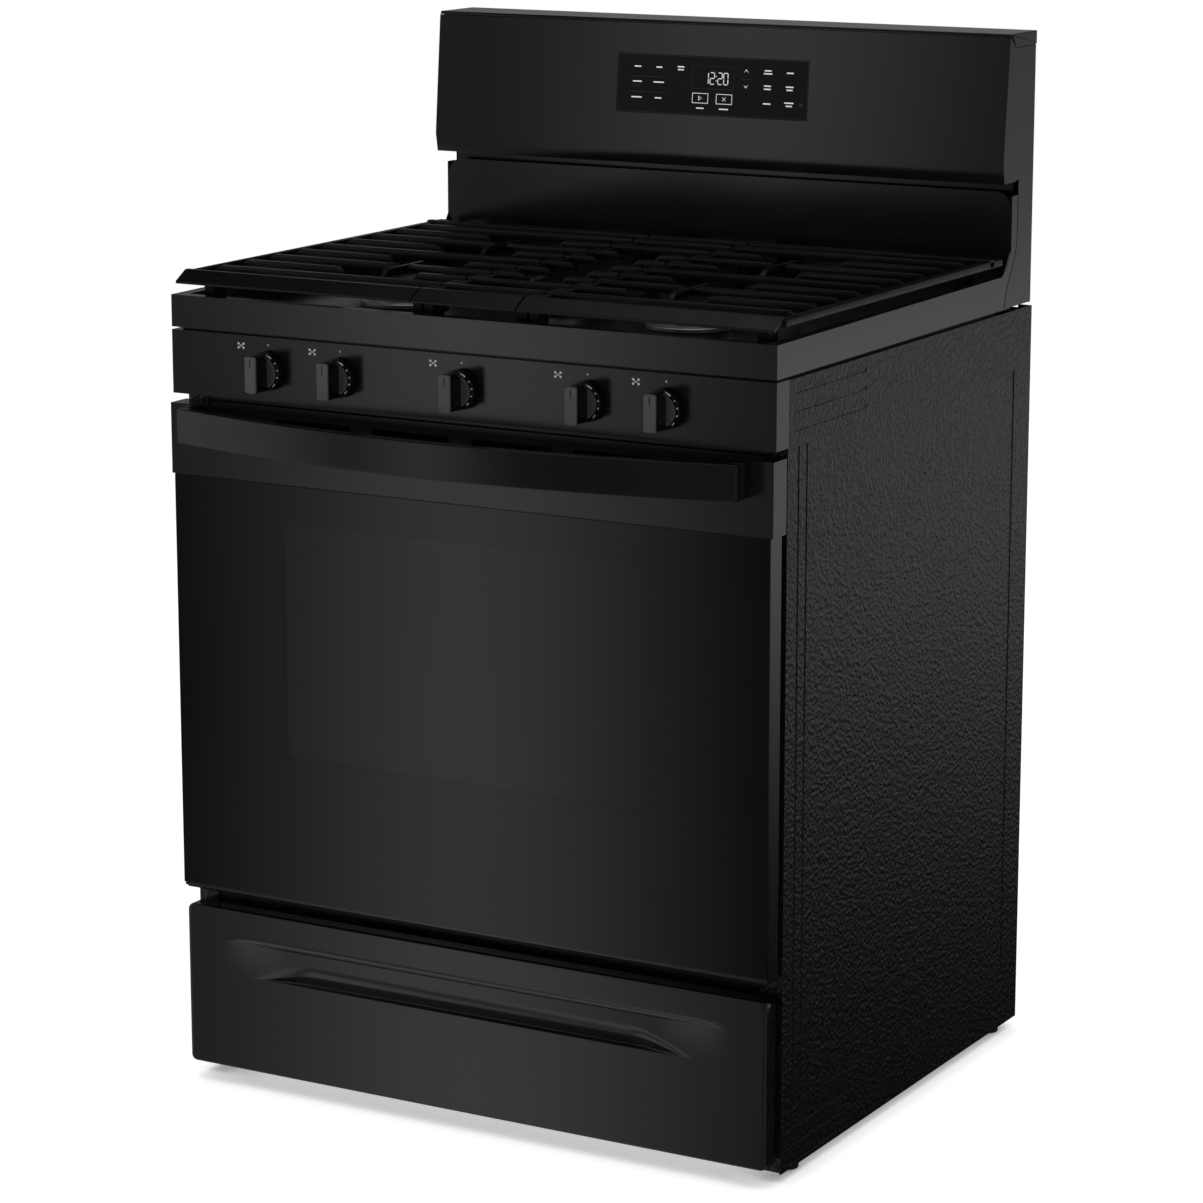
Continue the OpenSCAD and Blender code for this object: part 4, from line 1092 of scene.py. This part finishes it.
@dataclass
class KnobRow:
    """The control panel under the cooktop with its five push-to-turn knobs."""

    xs: tuple[float, ...] = (-249, -155, 0, 155, 249)
    z: float = 838.0
    skirt_r: float = 22.0
    face_r: float = 17.6
    grip_w: float = 15.0
    reach: float = 36.0
    mark_r: float = 19.8
    dots: tuple[float, ...] = (-9, 56, 80, 103)
    dashes: tuple[tuple[float, float, float], ...] = ((13, 36, 1.7), (126, 138, 0.9))
    icon_x: float = -36.0
    icon_z: float = 25.5
    tray_half: float = 371.0
    tray_y: float = 12.0
    tray_back: float = 600.0
    tray_low: float = 860.0
    tray_high: float = 888.0
    tray_t: float = 1.2

    def grip_outline(self, x: float, shrink: float) -> list[Point]:
        """Gives the grip seen from the front: straight sides and rounded ends."""
        half = self.grip_w / 2 - shrink
        r = 20.6 - shrink
        steps = [half * (s / 4 - 1) for s in range(9)]
        top = [(x + s, self.z + math.sqrt(r * r - s * s)) for s in steps]
        low = [(x + s, self.z - math.sqrt(r * r - s * s)) for s in reversed(steps)]
        return top + low

    def grip(self, x: float, stations: Sequence[Point]) -> Shape:
        """Lofts the grip through distances in front of the panel and their shrink."""
        return Shape().loft([[(a, -d, b) for a, b in self.grip_outline(x, s)] for d, s in stations])

    def marks(self, x: float) -> Shape:
        """Prints the setting marks around the skirt's face."""
        made = Shape()
        y = -12.12
        for angle in self.dots:
            a = math.radians(angle)
            spot = (x + self.mark_r * math.sin(a), self.z + self.mark_r * math.cos(a))
            made.turned(Way.Y, spot, [(y, 0.85), (y + 0.3, 0.85)], 16)
        for start, end, width in self.dashes:
            inner, outer = self.mark_r - width / 2, self.mark_r + width / 2
            section = ((inner, y), (outer, y), (outer, y + 0.3), (inner, y + 0.3))
            rows = []
            for step in range(9):
                a = math.radians(start + (end - start) * step / 8)
                rows.append([(x + q * math.sin(a), d, self.z + q * math.cos(a)) for q, d in section])
            made.loft(rows)
        return made

    def knob(self, number: int, x: float) -> None:
        """Makes one knob: skirt, disc, grip, face and marks."""
        body = f"dial_{number}"
        r = self.skirt_r
        skirt = Shape().turned(
            Way.Y, (x, self.z), [(-4.5, r - 0.8), (-5.2, r), (-11, r), (-11.8, r - 0.5), (-12, r - 1.2)], 72
        ).solid(f"knob_{number}_skirt")
        disc = Shape().turned(
            Way.Y, (x, self.z), [(-11.8, self.face_r), (-13.6, self.face_r), (-14.3, self.face_r - 0.7)], 72
        ).solid(f"knob_{number}_disc")
        end = self.reach
        grip = self.grip(x, [(13.5, 0), (end - 1.6, 0)]).solid(f"knob_{number}_grip")
        face = self.grip(x, [(end - 1.7, 0), (end - 0.7, 0), (end, 0.7)]).solid(f"knob_{number}_face")
        line = Shape().block((x - 0.75, -end - 0.08, self.z + 7.5), (x + 0.75, -end + 0.4, self.z + 17.5))
        pointer = line.solid(f"knob_{number}_pointer")
        for piece in (skirt, disc, grip, face):
            ease_edges(piece, 0.5)
        hand_over(skirt, body, KNOB_BODY, [f"knob_{number}"])
        hand_over(disc, body, KNOB_FACE)
        hand_over(grip, body, KNOB_BODY)
        hand_over(face, body, KNOB_FACE)
        hand_over(pointer, body, KNOB_BODY)
        hand_over(self.marks(x).solid(f"knob_{number}_marks"), body, INK)

    def print_panel(self) -> bpy.types.Object:
        """Prints the off mark above each knob and the burner sign beside it."""
        made = Shape()
        y = -0.12
        for x in self.xs:
            made.turned(Way.Y, (x, self.z + 28.5), [(y, 1.15), (y + 0.2, 1.15)], 20)
            cx, cz = x + self.icon_x, self.z + self.icon_z
            for dx in (-1, 1):
                for dz in (-1, 1):
                    made.turned(Way.Y, (cx + dx * 3.3, cz + dz * 2.3), [(y, 1.4), (y + 0.2, 1.4)], 18)
                slant = [(-2.8, -1.9 * dx - 0.4), (2.8, 1.9 * dx - 0.4), (2.8, 1.9 * dx + 0.4), (-2.8, -1.9 * dx + 0.4)]
                made.prism(Way.Y, [(cx + a, cz + b) for a, b in slant], y - 0.01 * dx, y + 0.2)
        return made.solid("panel_marks")

    def shade_tray(self) -> bpy.types.Object:
        """Folds a black sheet's front and sides, which close the gap under the cooktop and darken it: painted shade in
        place of the shaded inside of the range.
        """
        half, low, high, back = self.tray_half, self.tray_low, self.tray_high, self.tray_y + self.tray_t
        made = Shape().block((-half, self.tray_y, low), (half, back, high))
        for x in (-half, half - self.tray_t):
            made.block((x, back, low), (x + self.tray_t, self.tray_back, high))
        return made.solid("burner_tray")

    def build(self, shop: "Workshop") -> None:
        """Makes the panel and the knobs."""
        carry("knob_panel", BAKED, 0.8)
        # The black tray under the cooktop darkens the gap there: painted shade.
        hand_over(self.shade_tray(), "range_body", PORCELAIN)
        hand_over(self.print_panel(), "range_body", INK)
        for number, x in enumerate(self.xs, 1):
            self.knob(number, x)
        dress([f"stem_{n}" for n in range(1, 6)], STEEL)


@dataclass
class Console:
    """The leaning console with its glass key panel and clock."""

    low_z: float = 1044.0
    low_y: float = 558.0
    high_z: float = 1191.0
    high_y: float = 571.0
    vent_half: float = 372.0
    vent_y: float = 600.0
    vent_low: float = 1000.0
    vent_high: float = 1060.0
    panel_half: float = 126.0
    panel_low: float = 1083.0
    panel_high: float = 1150.0
    digit_w: float = 5.6
    digit_h: float = 13.4
    stroke: float = 1.05
    clock: tuple[tuple[str, float], ...] = (("bc", -7.6), ("abged", 0.4), ("abged", 10.6), ("abcdef", 18.3))
    legends: tuple[tuple[float, float, float], ...] = (
        (-100, 1136, 9), (-71, 1136, 8), (-42, 1137.6, 9), (-42, 1134.2, 8), (-100, 1118.5, 12), (-71, 1118.5, 14),
        (-100, 1100, 14), (-71, 1100, 9), (73.5, 1137.6, 9), (73.5, 1134.2, 11), (102.5, 1136, 9), (73.5, 1120, 9),
        (73.5, 1116.4, 9), (102.5, 1120, 10), (102.5, 1116.4, 8), (73.5, 1099.5, 10), (102.5, 1101.6, 12),
        (102.5, 1098, 8), (-14.5, 1090.6, 10), (17, 1090.6, 12),
    )
    rules: tuple[tuple[float, float, float], ...] = (
        (-85, 1124.5, 50), (-85, 1106.5, 50), (-100, 1113.8, 8), (45, 1126.8, 12),
    )

    def face_y(self, z: float) -> float:
        """Gives the glass's front at a height."""
        return self.low_y + 0.4 + (self.high_y - self.low_y) * (z - self.low_z) / (self.high_z - self.low_z)

    def tile(self, shape: Shape, outline: Sequence[Point], lift: float = 0.12) -> None:
        """Lays a flat sign with this outline in x and z on the glass."""
        shape.loft([[(x, self.face_y(z) + d, z) for x, z in outline] for d in (-lift, 0.1)])

    def bar(self, shape: Shape, x: float, z: float, w: float, h: float) -> None:
        """Lays a small bar about its middle."""
        a, b = w / 2, h / 2
        self.tile(shape, [(x - a, z - b), (x + a, z - b), (x + a, z + b), (x - a, z + b)])

    def box_line(self, shape: Shape, x0: float, x1: float, z0: float, z1: float, w: float) -> None:
        """Lays a rectangle's outline."""
        self.bar(shape, (x0 + x1) / 2, z0, x1 - x0 + w, w)
        self.bar(shape, (x0 + x1) / 2, z1, x1 - x0 + w, w)
        self.bar(shape, x0, (z0 + z1) / 2, w, z1 - z0 - w)
        self.bar(shape, x1, (z0 + z1) / 2, w, z1 - z0 - w)

    def digits(self, shape: Shape) -> None:
        """Lays the clock's lit segments."""
        w, h, t = self.digit_w / 2, self.digit_h / 2, self.stroke
        middle = 1125.8
        for lit, x in self.clock:
            spans = {
                "a": (0, h, 2 * w - t, t), "g": (0, 0, 2 * w - t, t), "d": (0, -h, 2 * w - t, t),
                "f": (-w, h / 2, t, h - t), "b": (w, h / 2, t, h - t), "e": (-w, -h / 2, t, h - t),
                "c": (w, -h / 2, t, h - t),
            }
            for name in lit:
                dx, dz, sx, sz = spans[name]
                self.bar(shape, x + dx, middle + dz, sx, sz)
        for dz in (-2.6, 2.6):
            self.bar(shape, 5.5, middle + dz, 1.2, 1.2)

    def signs(self, shape: Shape) -> None:
        """Lays the start, stop and arrow signs."""
        self.box_line(shape, -25, -4.5, 1096.6, 1107.8, 0.7)
        self.box_line(shape, 6.8, 27.3, 1096.6, 1107.8, 0.7)
        for dx, dz in ((-2, 2.7), (-2, -2.7)):
            self.tile(shape, [(-14.8 + dx, 1102.2 + dz), (-14.8 + 3, 1102.2), (-14.8 + dx, 1102.2 + dz * 0.62)])
        self.bar(shape, -16.6, 1102.2, 0.7, 3.6)
        for turn in (-1, 1):
            low, high = 1102.2 - 2.2 * turn, 1102.2 + 2.2 * turn
            stroke = [(17 - 2.2, low - 0.4), (17 + 2.2, high - 0.4), (17 + 2.2, high + 0.4), (17 - 2.2, low + 0.4)]
            self.tile(shape, stroke, 0.12 + 0.01 * turn)
            z = 1127.2 + 8.8 * turn
            foot, tip, notch = z - 1.9 * turn, z + 2.3 * turn, z + 0.9 * turn
            self.tile(shape, [(45 - 3.1, foot), (45, tip), (45 + 3.1, foot), (45, notch)])

    def build(self, shop: "Workshop") -> None:
        """Makes the console's shell and everything printed on its glass."""
        carry("console_fascia", BAKED, 0.9, 3)
        carry("console_cap", BAKED, 1.2, 3)
        carry("console_sides", BAKED, 0.35)
        carry("touch_panel", SCREEN, 0.3)
        # A black sheet behind the fascia's lower vent darkens the console's open inside: painted shade.
        low, high = (-self.vent_half, self.vent_y, self.vent_low), (self.vent_half, self.vent_y + 1, self.vent_high)
        hand_over(Shape().block(low, high).solid("vent_deflector"), "range_body", PORCELAIN)
        lit, faint = Shape(), Shape()
        self.digits(lit)
        self.signs(lit)
        for x, z, w in self.legends:
            self.bar(lit, x, z, w, 1.5)
        for x, z, w in self.rules:
            self.bar(faint, x, z, w, 0.5)
        self.box_line(faint, -self.panel_half, self.panel_half, self.panel_low, self.panel_high, 0.5)
        self.box_line(faint, -27, 29, 1113.5, 1140, 0.35)
        self.bar(faint, 118.5, 1100, 4, 4)
        hand_over(lit.solid("clock_and_legends"), "range_body", LIT)
        hand_over(faint.solid("panel_rules"), "range_body", FAINT_INK)


@dataclass
class OvenDoor:
    """The drop-down door: vented top band, printed glass, handle and inner panes."""

    glass_half: float = 375.0
    face_y: float = -5.4
    glass_t: float = 4.0
    glass_low: float = 237.0
    glass_high: float = 713.1

    def pane(self) -> bpy.types.Object:
        """Cuts the outer glass with ground edges."""
        low = (-self.glass_half, self.face_y, self.glass_low)
        high = (self.glass_half, self.face_y + self.glass_t, self.glass_high)
        piece = Shape().block(low, high).solid("door_glass_pane")
        ease_edges(piece, 0.8)
        return piece

    def build(self, shop: "Workshop") -> None:
        """Makes every piece of the door."""
        carry("door_top_band", BAKED, 0.8)
        hand_over(self.pane(), "door", DOOR_GLASS, ["door_glass"])
        carry("door_frame", BAKED, 0.8)
        carry("door_liner", OVEN, 0.4)
        carry("window_panes", INNER_GLASS, 0.5)
        carry("door_handle", HANDLE, 1.6, 3)
        carry("handle_posts", HANDLE, 1.6, 3)
        carry("hinge_blocks", STEEL, 0.4)


@dataclass
class Oven:
    """The cavity with its racks, burners, fan and lamp."""

    half: float = 292.0
    front_y: float = 66.0
    back_y: float = 490.0
    heavy_r: float = 3.1
    light_r: float = 2.2
    pitch: float = 21.5

    def rack(self, name: str, z: float, shop: "Workshop") -> None:
        """Welds one rack from heavy frame rods and light cross wires."""
        rods, wires = Shape(), Shape()
        for side in (-1, 1):
            rods.path([(side * self.half, self.front_y - 3, z), (side * self.half, self.back_y + 3, z)])
        for y, drop in ((self.front_y, 0), ((self.front_y + self.back_y) / 2, 4), (self.back_y, 0)):
            rods.path([(-self.half, y, z - drop), (self.half, y, z - drop)])
        for i in range(-13, 14):
            wires.path([(i * self.pitch, self.front_y, z), (i * self.pitch, self.back_y, z)])
        frame_rods = shop.wires.run(rods.guide(f"{name}_rods"), CHROME, Radius=self.heavy_r * MM, Sides=14)
        cross = shop.wires.run(wires.guide(f"{name}_wires"), CHROME, Radius=self.light_r * MM, Sides=10)
        body = "upper_rack" if name == "rack_upper" else "lower_rack"
        hand_over(frame_rods, body, CHROME, [name], False)
        hand_over(cross, body, CHROME, (), False)

    def build(self, shop: "Workshop") -> None:
        """Makes the cavity and what is in it."""
        carry("oven_liner", OVEN, 0.4)
        carry("oven_floor", OVEN, 0.5)
        carry("rack_guides", CHROME, 0.3)
        carry("door_seal", SEAL, 1.5)
        carry("bake_burner", STEEL, 0.4)
        carry("broil_burner", STEEL, 0.8)
        carry("oven_lamp", LAMP, 1.5, 3)
        carry("fan_cover", OVEN, 0.5)
        carry("fan_blade", STEEL, 0.2)
        carry("hinge_arms", STEEL, 0.5)
        self.rack("rack_upper", 547, shop)
        self.rack("rack_lower", 427, shop)
        dress(["insulation"], WOOL)
        dress(["fan_motor", "gas_manifold", "burner_tubes"], STEEL)


@dataclass
class Drawer:
    """The storage drawer, its front pressed into a long finger pull."""

    half: float = 373.5
    low_z: float = 22.0
    high_z: float = 211.0
    face_y: float = -1.4
    back_y: float = 20.0
    corner: float = 7.0
    fold: float = 2.2
    crease_z: float = 175.0
    crease: float = 3.0
    groove: float = 1.3
    lip_z: float = 135.0
    fade_x: tuple[float, float] = (240.0, 328.0)
    arch_x: tuple[float, float] = (205.0, 306.0)
    scoop_x: tuple[float, float] = (306.0, 246.0)
    arch: float = 25.0
    pocket: float = 9.0
    columns: int = 150
    row_step: float = 0.8
    sheet_t: float = 1.2

    def pull_depth(self, x: float, z: float) -> float:
        """Gives how far the pressed front lies behind its face.

        Args:
            x: Distance from the middle.
            z: Height above the floor.

        Returns:
            The depth in millimetres.
        """
        if not self.lip_z <= z <= self.crease_z:
            return 0.0
        fall = (self.crease_z - z) / (self.crease_z - self.lip_z)
        line = 1 - min(abs(self.crease_z - self.groove - z) / self.groove, 1.0)
        plane = (self.crease * (1 - fall) + self.groove * line) * (1 - blend(*self.fade_x, abs(x)))
        rise = self.arch * (1 - blend(*self.arch_x, abs(x)))
        scoop = min(max((self.lip_z + rise - z) / self.arch, 0.0), 1.0)
        return plane + self.pocket * blend(0.0, 1.1, scoop) * blend(*self.scoop_x, abs(x))

    def half_at(self, z: float) -> float:
        """Gives half the width of the flat face at a height, which shrinks in the corners."""
        past = max(self.low_z + self.corner - z, z - self.high_z + self.corner, 0.0)
        r = self.corner - self.fold
        return self.half - self.corner + math.sqrt(max(r * r - past * past, 0.0))

    def outward(self, x: float, z: float) -> tuple[float, float]:
        """Gives the direction in which the outline of the face looks at one of its points."""
        a = x - min(max(x, self.corner - self.half), self.half - self.corner)
        b = z - min(max(z, self.low_z + self.corner), self.high_z - self.corner)
        length = math.hypot(a, b)
        return a / length, b / length

    def front(self) -> bpy.types.Object:
        """Presses the drawer's front from one sheet with folded edges and round corners."""
        r = self.corner - self.fold
        bends = [r * (1 - math.sin(math.radians(a))) for a in (90, 68, 45, 22, 0)]
        low, high = self.low_z + self.fold, self.high_z - self.fold
        zs = [low + b for b in bends] + [60, 95, 125, self.lip_z - 1.2, self.lip_z - 0.5]
        zs += [self.lip_z + self.row_step * i for i in range(32)] + [163, 167, 170]
        zs += [self.crease_z - step * self.groove for step in (2.6, 2.0, 1.5, 1.0, 0.5, 0.0)]
        zs += [self.crease_z + 0.6, 182, 192] + [high - b for b in reversed(bends)]
        rows = []
        for z in zs:
            edge = self.half_at(z)
            xs = [edge * i / self.columns for i in range(-self.columns, self.columns + 1)]
            rows.append([(x, self.face_y + self.pull_depth(x, z), z) for x in xs])
        right, left = [row[-1] for row in rows[1:-1]], [row[0] for row in rows[-2:0:-1]]
        rim = rows[0] + right + rows[-1][::-1] + left
        rings = [rim]
        for angle in (30, 60, 90):
            a = math.radians(angle)
            out, back = self.fold * math.sin(a), self.fold * (1 - math.cos(a))
            rings.append([self.folded(p, out, self.face_y + back) for p in rim])
        rings.append([self.folded(p, self.fold, self.back_y) for p in rim])
        piece = Shape().grid(rows).loft(rings, False).solid("drawer_front_pressed")
        piece.data.shade_smooth()
        wall = piece.modifiers.new("sheet", "SOLIDIFY")
        wall.thickness = self.sheet_t * MM
        wall.offset = -1.0
        return piece

    def folded(self, spot: Point, out: float, y: float) -> Point:
        """Moves a point of the face's outline outwards and back."""
        a, b = self.outward(spot[0], spot[2])
        return (spot[0] + a * out, y, spot[2] + b * out)

    def build(self, shop: "Workshop") -> None:
        """Makes the drawer and its slides."""
        hand_over(self.front(), "drawer", BAKED, ["drawer_front"])
        carry("drawer_box", ZINC, 0.3)
        carry("drawer_runners", STEEL, 0.4)
        carry("drawer_rails", STEEL, 0.3)


@dataclass
class Studio:
    """A white room: pale floor, a soft light tent, one overhead panel and the camera.

    The tent's brightness goes by compass angle, in degrees from straight in front of the range, and
    the light on its right side by height in metres as well.
    """

    tent_r: float = 3.3
    tent_low: float = -2.4
    tent_high: float = 3.2
    tent_sides: int = 96
    front_light: tuple[tuple[float, float], ...] = (
        (-180, 0.2), (-150, 0.2), (-110, 0.1), (-88, 0.08), (-74, 0.42), (-60, 0.5), (-50, 0.5), (-44, 0.32),
        (-41, 0.06), (-38.5, 0.03), (-34, 0.34), (-31.5, 0.57), (-29, 0.76), (-26.5, 0.6), (-24, 0.38), (-19.5, 0.06),
        (-16, 0.03), (-8, 0.08), (4, 0.1), (12, 0.1), (40, 0.2), (70, 0.2), (90, 0.05), (105, 0.0), (172, 0.0),
        (180, 0.15),
    )
    side_light: tuple[tuple[float, float], ...] = ((100, 0.0), (122, 0.45), (140, 0.55), (158, 0.5), (176, 0.0))
    side_rise: tuple[tuple[float, float], ...] = (
        (-0.85, 0.0), (-0.55, 0.1), (-0.28, 0.42), (0.03, 0.95), (0.35, 0.95), (0.7, 0.55), (1.6, 0.25),
    )
    lens: float = 119.1
    eye: Point = (2205, -3582, 1536)
    eye_down: float = 12.48
    eye_turn: float = 29.58
    floor_half: float = 60000.0
    shadow_reach: float = 0.055

    def camera(self) -> None:
        """Sets the camera to the right of the front, looking slightly down."""
        data = bpy.data.cameras.new("camera")
        data.lens = self.lens
        data.sensor_width = 36
        data.clip_start = 0.1
        data.clip_end = 200
        made = bpy.data.objects.new("camera", data)
        bpy.context.scene.collection.objects.link(made)
        made.location = at(*self.eye)
        made.rotation_euler = (math.radians(90 - self.eye_down), 0, math.radians(self.eye_turn))
        bpy.context.scene.camera = made

    def floor(self) -> None:
        """Lays the pale floor, which glows white except close under the range, where an occlusion test dims the glow
        into a painted contact shadow.
        """
        paint = bpy.data.materials.new("pale_floor_paint")
        paint.use_nodes = True
        shader = paint.node_tree.nodes["Principled BSDF"]
        shader.inputs["Base Color"].default_value = linear("#d8d8d6")
        shader.inputs["Roughness"].default_value = 0.9
        shader.inputs["Specular IOR Level"].default_value = 0.0
        shader.inputs["Emission Color"].default_value = linear("#ffffff")
        tree = paint.node_tree
        # Painted contact shadow: the floor's glow falls where the range is near, as the occlusion test finds it.
        corner = add_node(tree, "ShaderNodeAmbientOcclusion", {"samples": 8}, {"Distance": self.shadow_reach})
        glow = add_node(tree, "ShaderNodeMapRange", None, {0: corner.outputs["AO"], 1: 0.05, 2: 0.75, 3: 0.1, 4: 1.0})
        tree.links.new(glow.outputs[0], shader.inputs["Emission Strength"])
        far = self.floor_half
        made = Shape().block((-far, -far, -60), (far, far, -0.5)).solid("floor")
        made.data.materials.append(paint)
        made.visible_glossy = False

    def ramp(
        self, tree: bpy.types.NodeTree, value: bpy.types.NodeSocket, stops: Sequence[tuple[float, float]]
    ) -> bpy.types.NodeSocket:
        """Adds a ramp of brightness.

        Args:
            tree: The material's tree.
            value: The output that the brightness follows.
            stops: Pairs of a value and the brightness there, in rising order.

        Returns:
            The output that carries the brightness.
        """
        first, last = stops[0][0], stops[-1][0]
        share = add_node(tree, "ShaderNodeMapRange", None, {0: value, 1: first, 2: last, 3: 0.0, 4: 1.0})
        made = add_node(tree, "ShaderNodeValToRGB", None, {0: share.outputs[0]})
        band = made.color_ramp
        band.interpolation = "LINEAR"
        while len(band.elements) > 1:
            band.elements.remove(band.elements[0])
        for number, (place, light) in enumerate(stops):
            spot = (place - first) / (last - first)
            stop = band.elements[0] if number == 0 else band.elements.new(spot)
            stop.position = spot
            stop.color = (light, light, light, 1)
        return made.outputs[0]

    def tent(self) -> None:
        """Stretches the light tent around the range, brighter where the fronts and the side look for it."""
        cloth = bpy.data.materials.new("lit_tent_cloth")
        cloth.use_nodes = True
        tree = cloth.node_tree
        tree.nodes.remove(tree.nodes["Principled BSDF"])
        place = add_node(tree, "ShaderNodeTexCoord").outputs["Object"]
        x, y, z = add_node(tree, "ShaderNodeSeparateXYZ", None, {0: place}).outputs
        front = add_node(tree, "ShaderNodeMath", {"operation": "MULTIPLY"}, {0: y, 1: -1.0})
        turn = add_node(tree, "ShaderNodeMath", {"operation": "ARCTAN2"}, {0: x, 1: front.outputs[0]})
        angle = add_node(tree, "ShaderNodeMath", {"operation": "DEGREES"}, {0: turn.outputs[0]}).outputs[0]
        side = add_node(
            tree,
            "ShaderNodeMath",
            {"operation": "MULTIPLY"},
            {0: self.ramp(tree, angle, self.side_light), 1: self.ramp(tree, z, self.side_rise)},
        )
        around = self.ramp(tree, angle, self.front_light)
        total = add_node(tree, "ShaderNodeMath", {"operation": "ADD"}, {0: around, 1: side.outputs[0]})
        glow = add_node(tree, "ShaderNodeEmission", None, {"Strength": total.outputs[0]})
        tree.links.new(glow.outputs[0], tree.nodes["Material Output"].inputs["Surface"])
        work = bmesh.new()
        turns = [2 * math.pi * i / self.tent_sides for i in range(self.tent_sides)]
        ring = [(self.tent_r * math.cos(t), self.tent_r * math.sin(t)) for t in turns]
        rings = [[work.verts.new((*spot, height)) for spot in ring] for height in (self.tent_low, self.tent_high)]
        for i in range(self.tent_sides):
            j = (i + 1) % self.tent_sides
            work.faces.new((rings[0][i], rings[1][i], rings[1][j], rings[0][j]))
        work.faces.new(rings[0])
        data = bpy.data.meshes.new("light_tent")
        work.to_mesh(data)
        work.free()
        data.materials.append(cloth)
        made = bpy.data.objects.new("light_tent", data)
        bpy.context.scene.collection.objects.link(made)
        made.visible_camera = False
        made.visible_shadow = False

    def overhead(self) -> None:
        """Hangs a soft panel above the range."""
        data = bpy.data.lights.new("overhead_panel", "AREA")
        data.shape = "RECTANGLE"
        data.size = 2.6
        data.size_y = 2.2
        data.energy = 9.0
        made = bpy.data.objects.new("overhead_panel", data)
        made.location = at(0, 100, 3300)
        made.visible_camera = False
        bpy.context.scene.collection.objects.link(made)

    def build(self) -> None:
        """Sets up the whole room."""
        scene = bpy.context.scene
        scene.view_settings.view_transform = "Standard"
        world = bpy.data.worlds.new("white_room")
        world.use_nodes = True
        world.node_tree.nodes["Background"].inputs[0].default_value = (1, 1, 1, 1)
        for kind in ("diffuse", "glossy", "transmission", "scatter"):
            setattr(world.cycles_visibility, kind, False)
        scene.world = world
        self.camera()
        self.floor()
        self.tent()
        self.overhead()


def main() -> None:
    """Builds the room and every sub-assembly in order."""
    logging.basicConfig(level=logging.INFO, format="%(message)s")
    shop = Workshop()
    Studio().build()
    for part in (Cabinet(), Burners(), Grates(), KnobRow(), Console(), OvenDoor(), Oven(), Drawer()):
        LOG.info("building %s", type(part).__name__)
        part.build(shop)


if __name__ == "__main__":
    main()
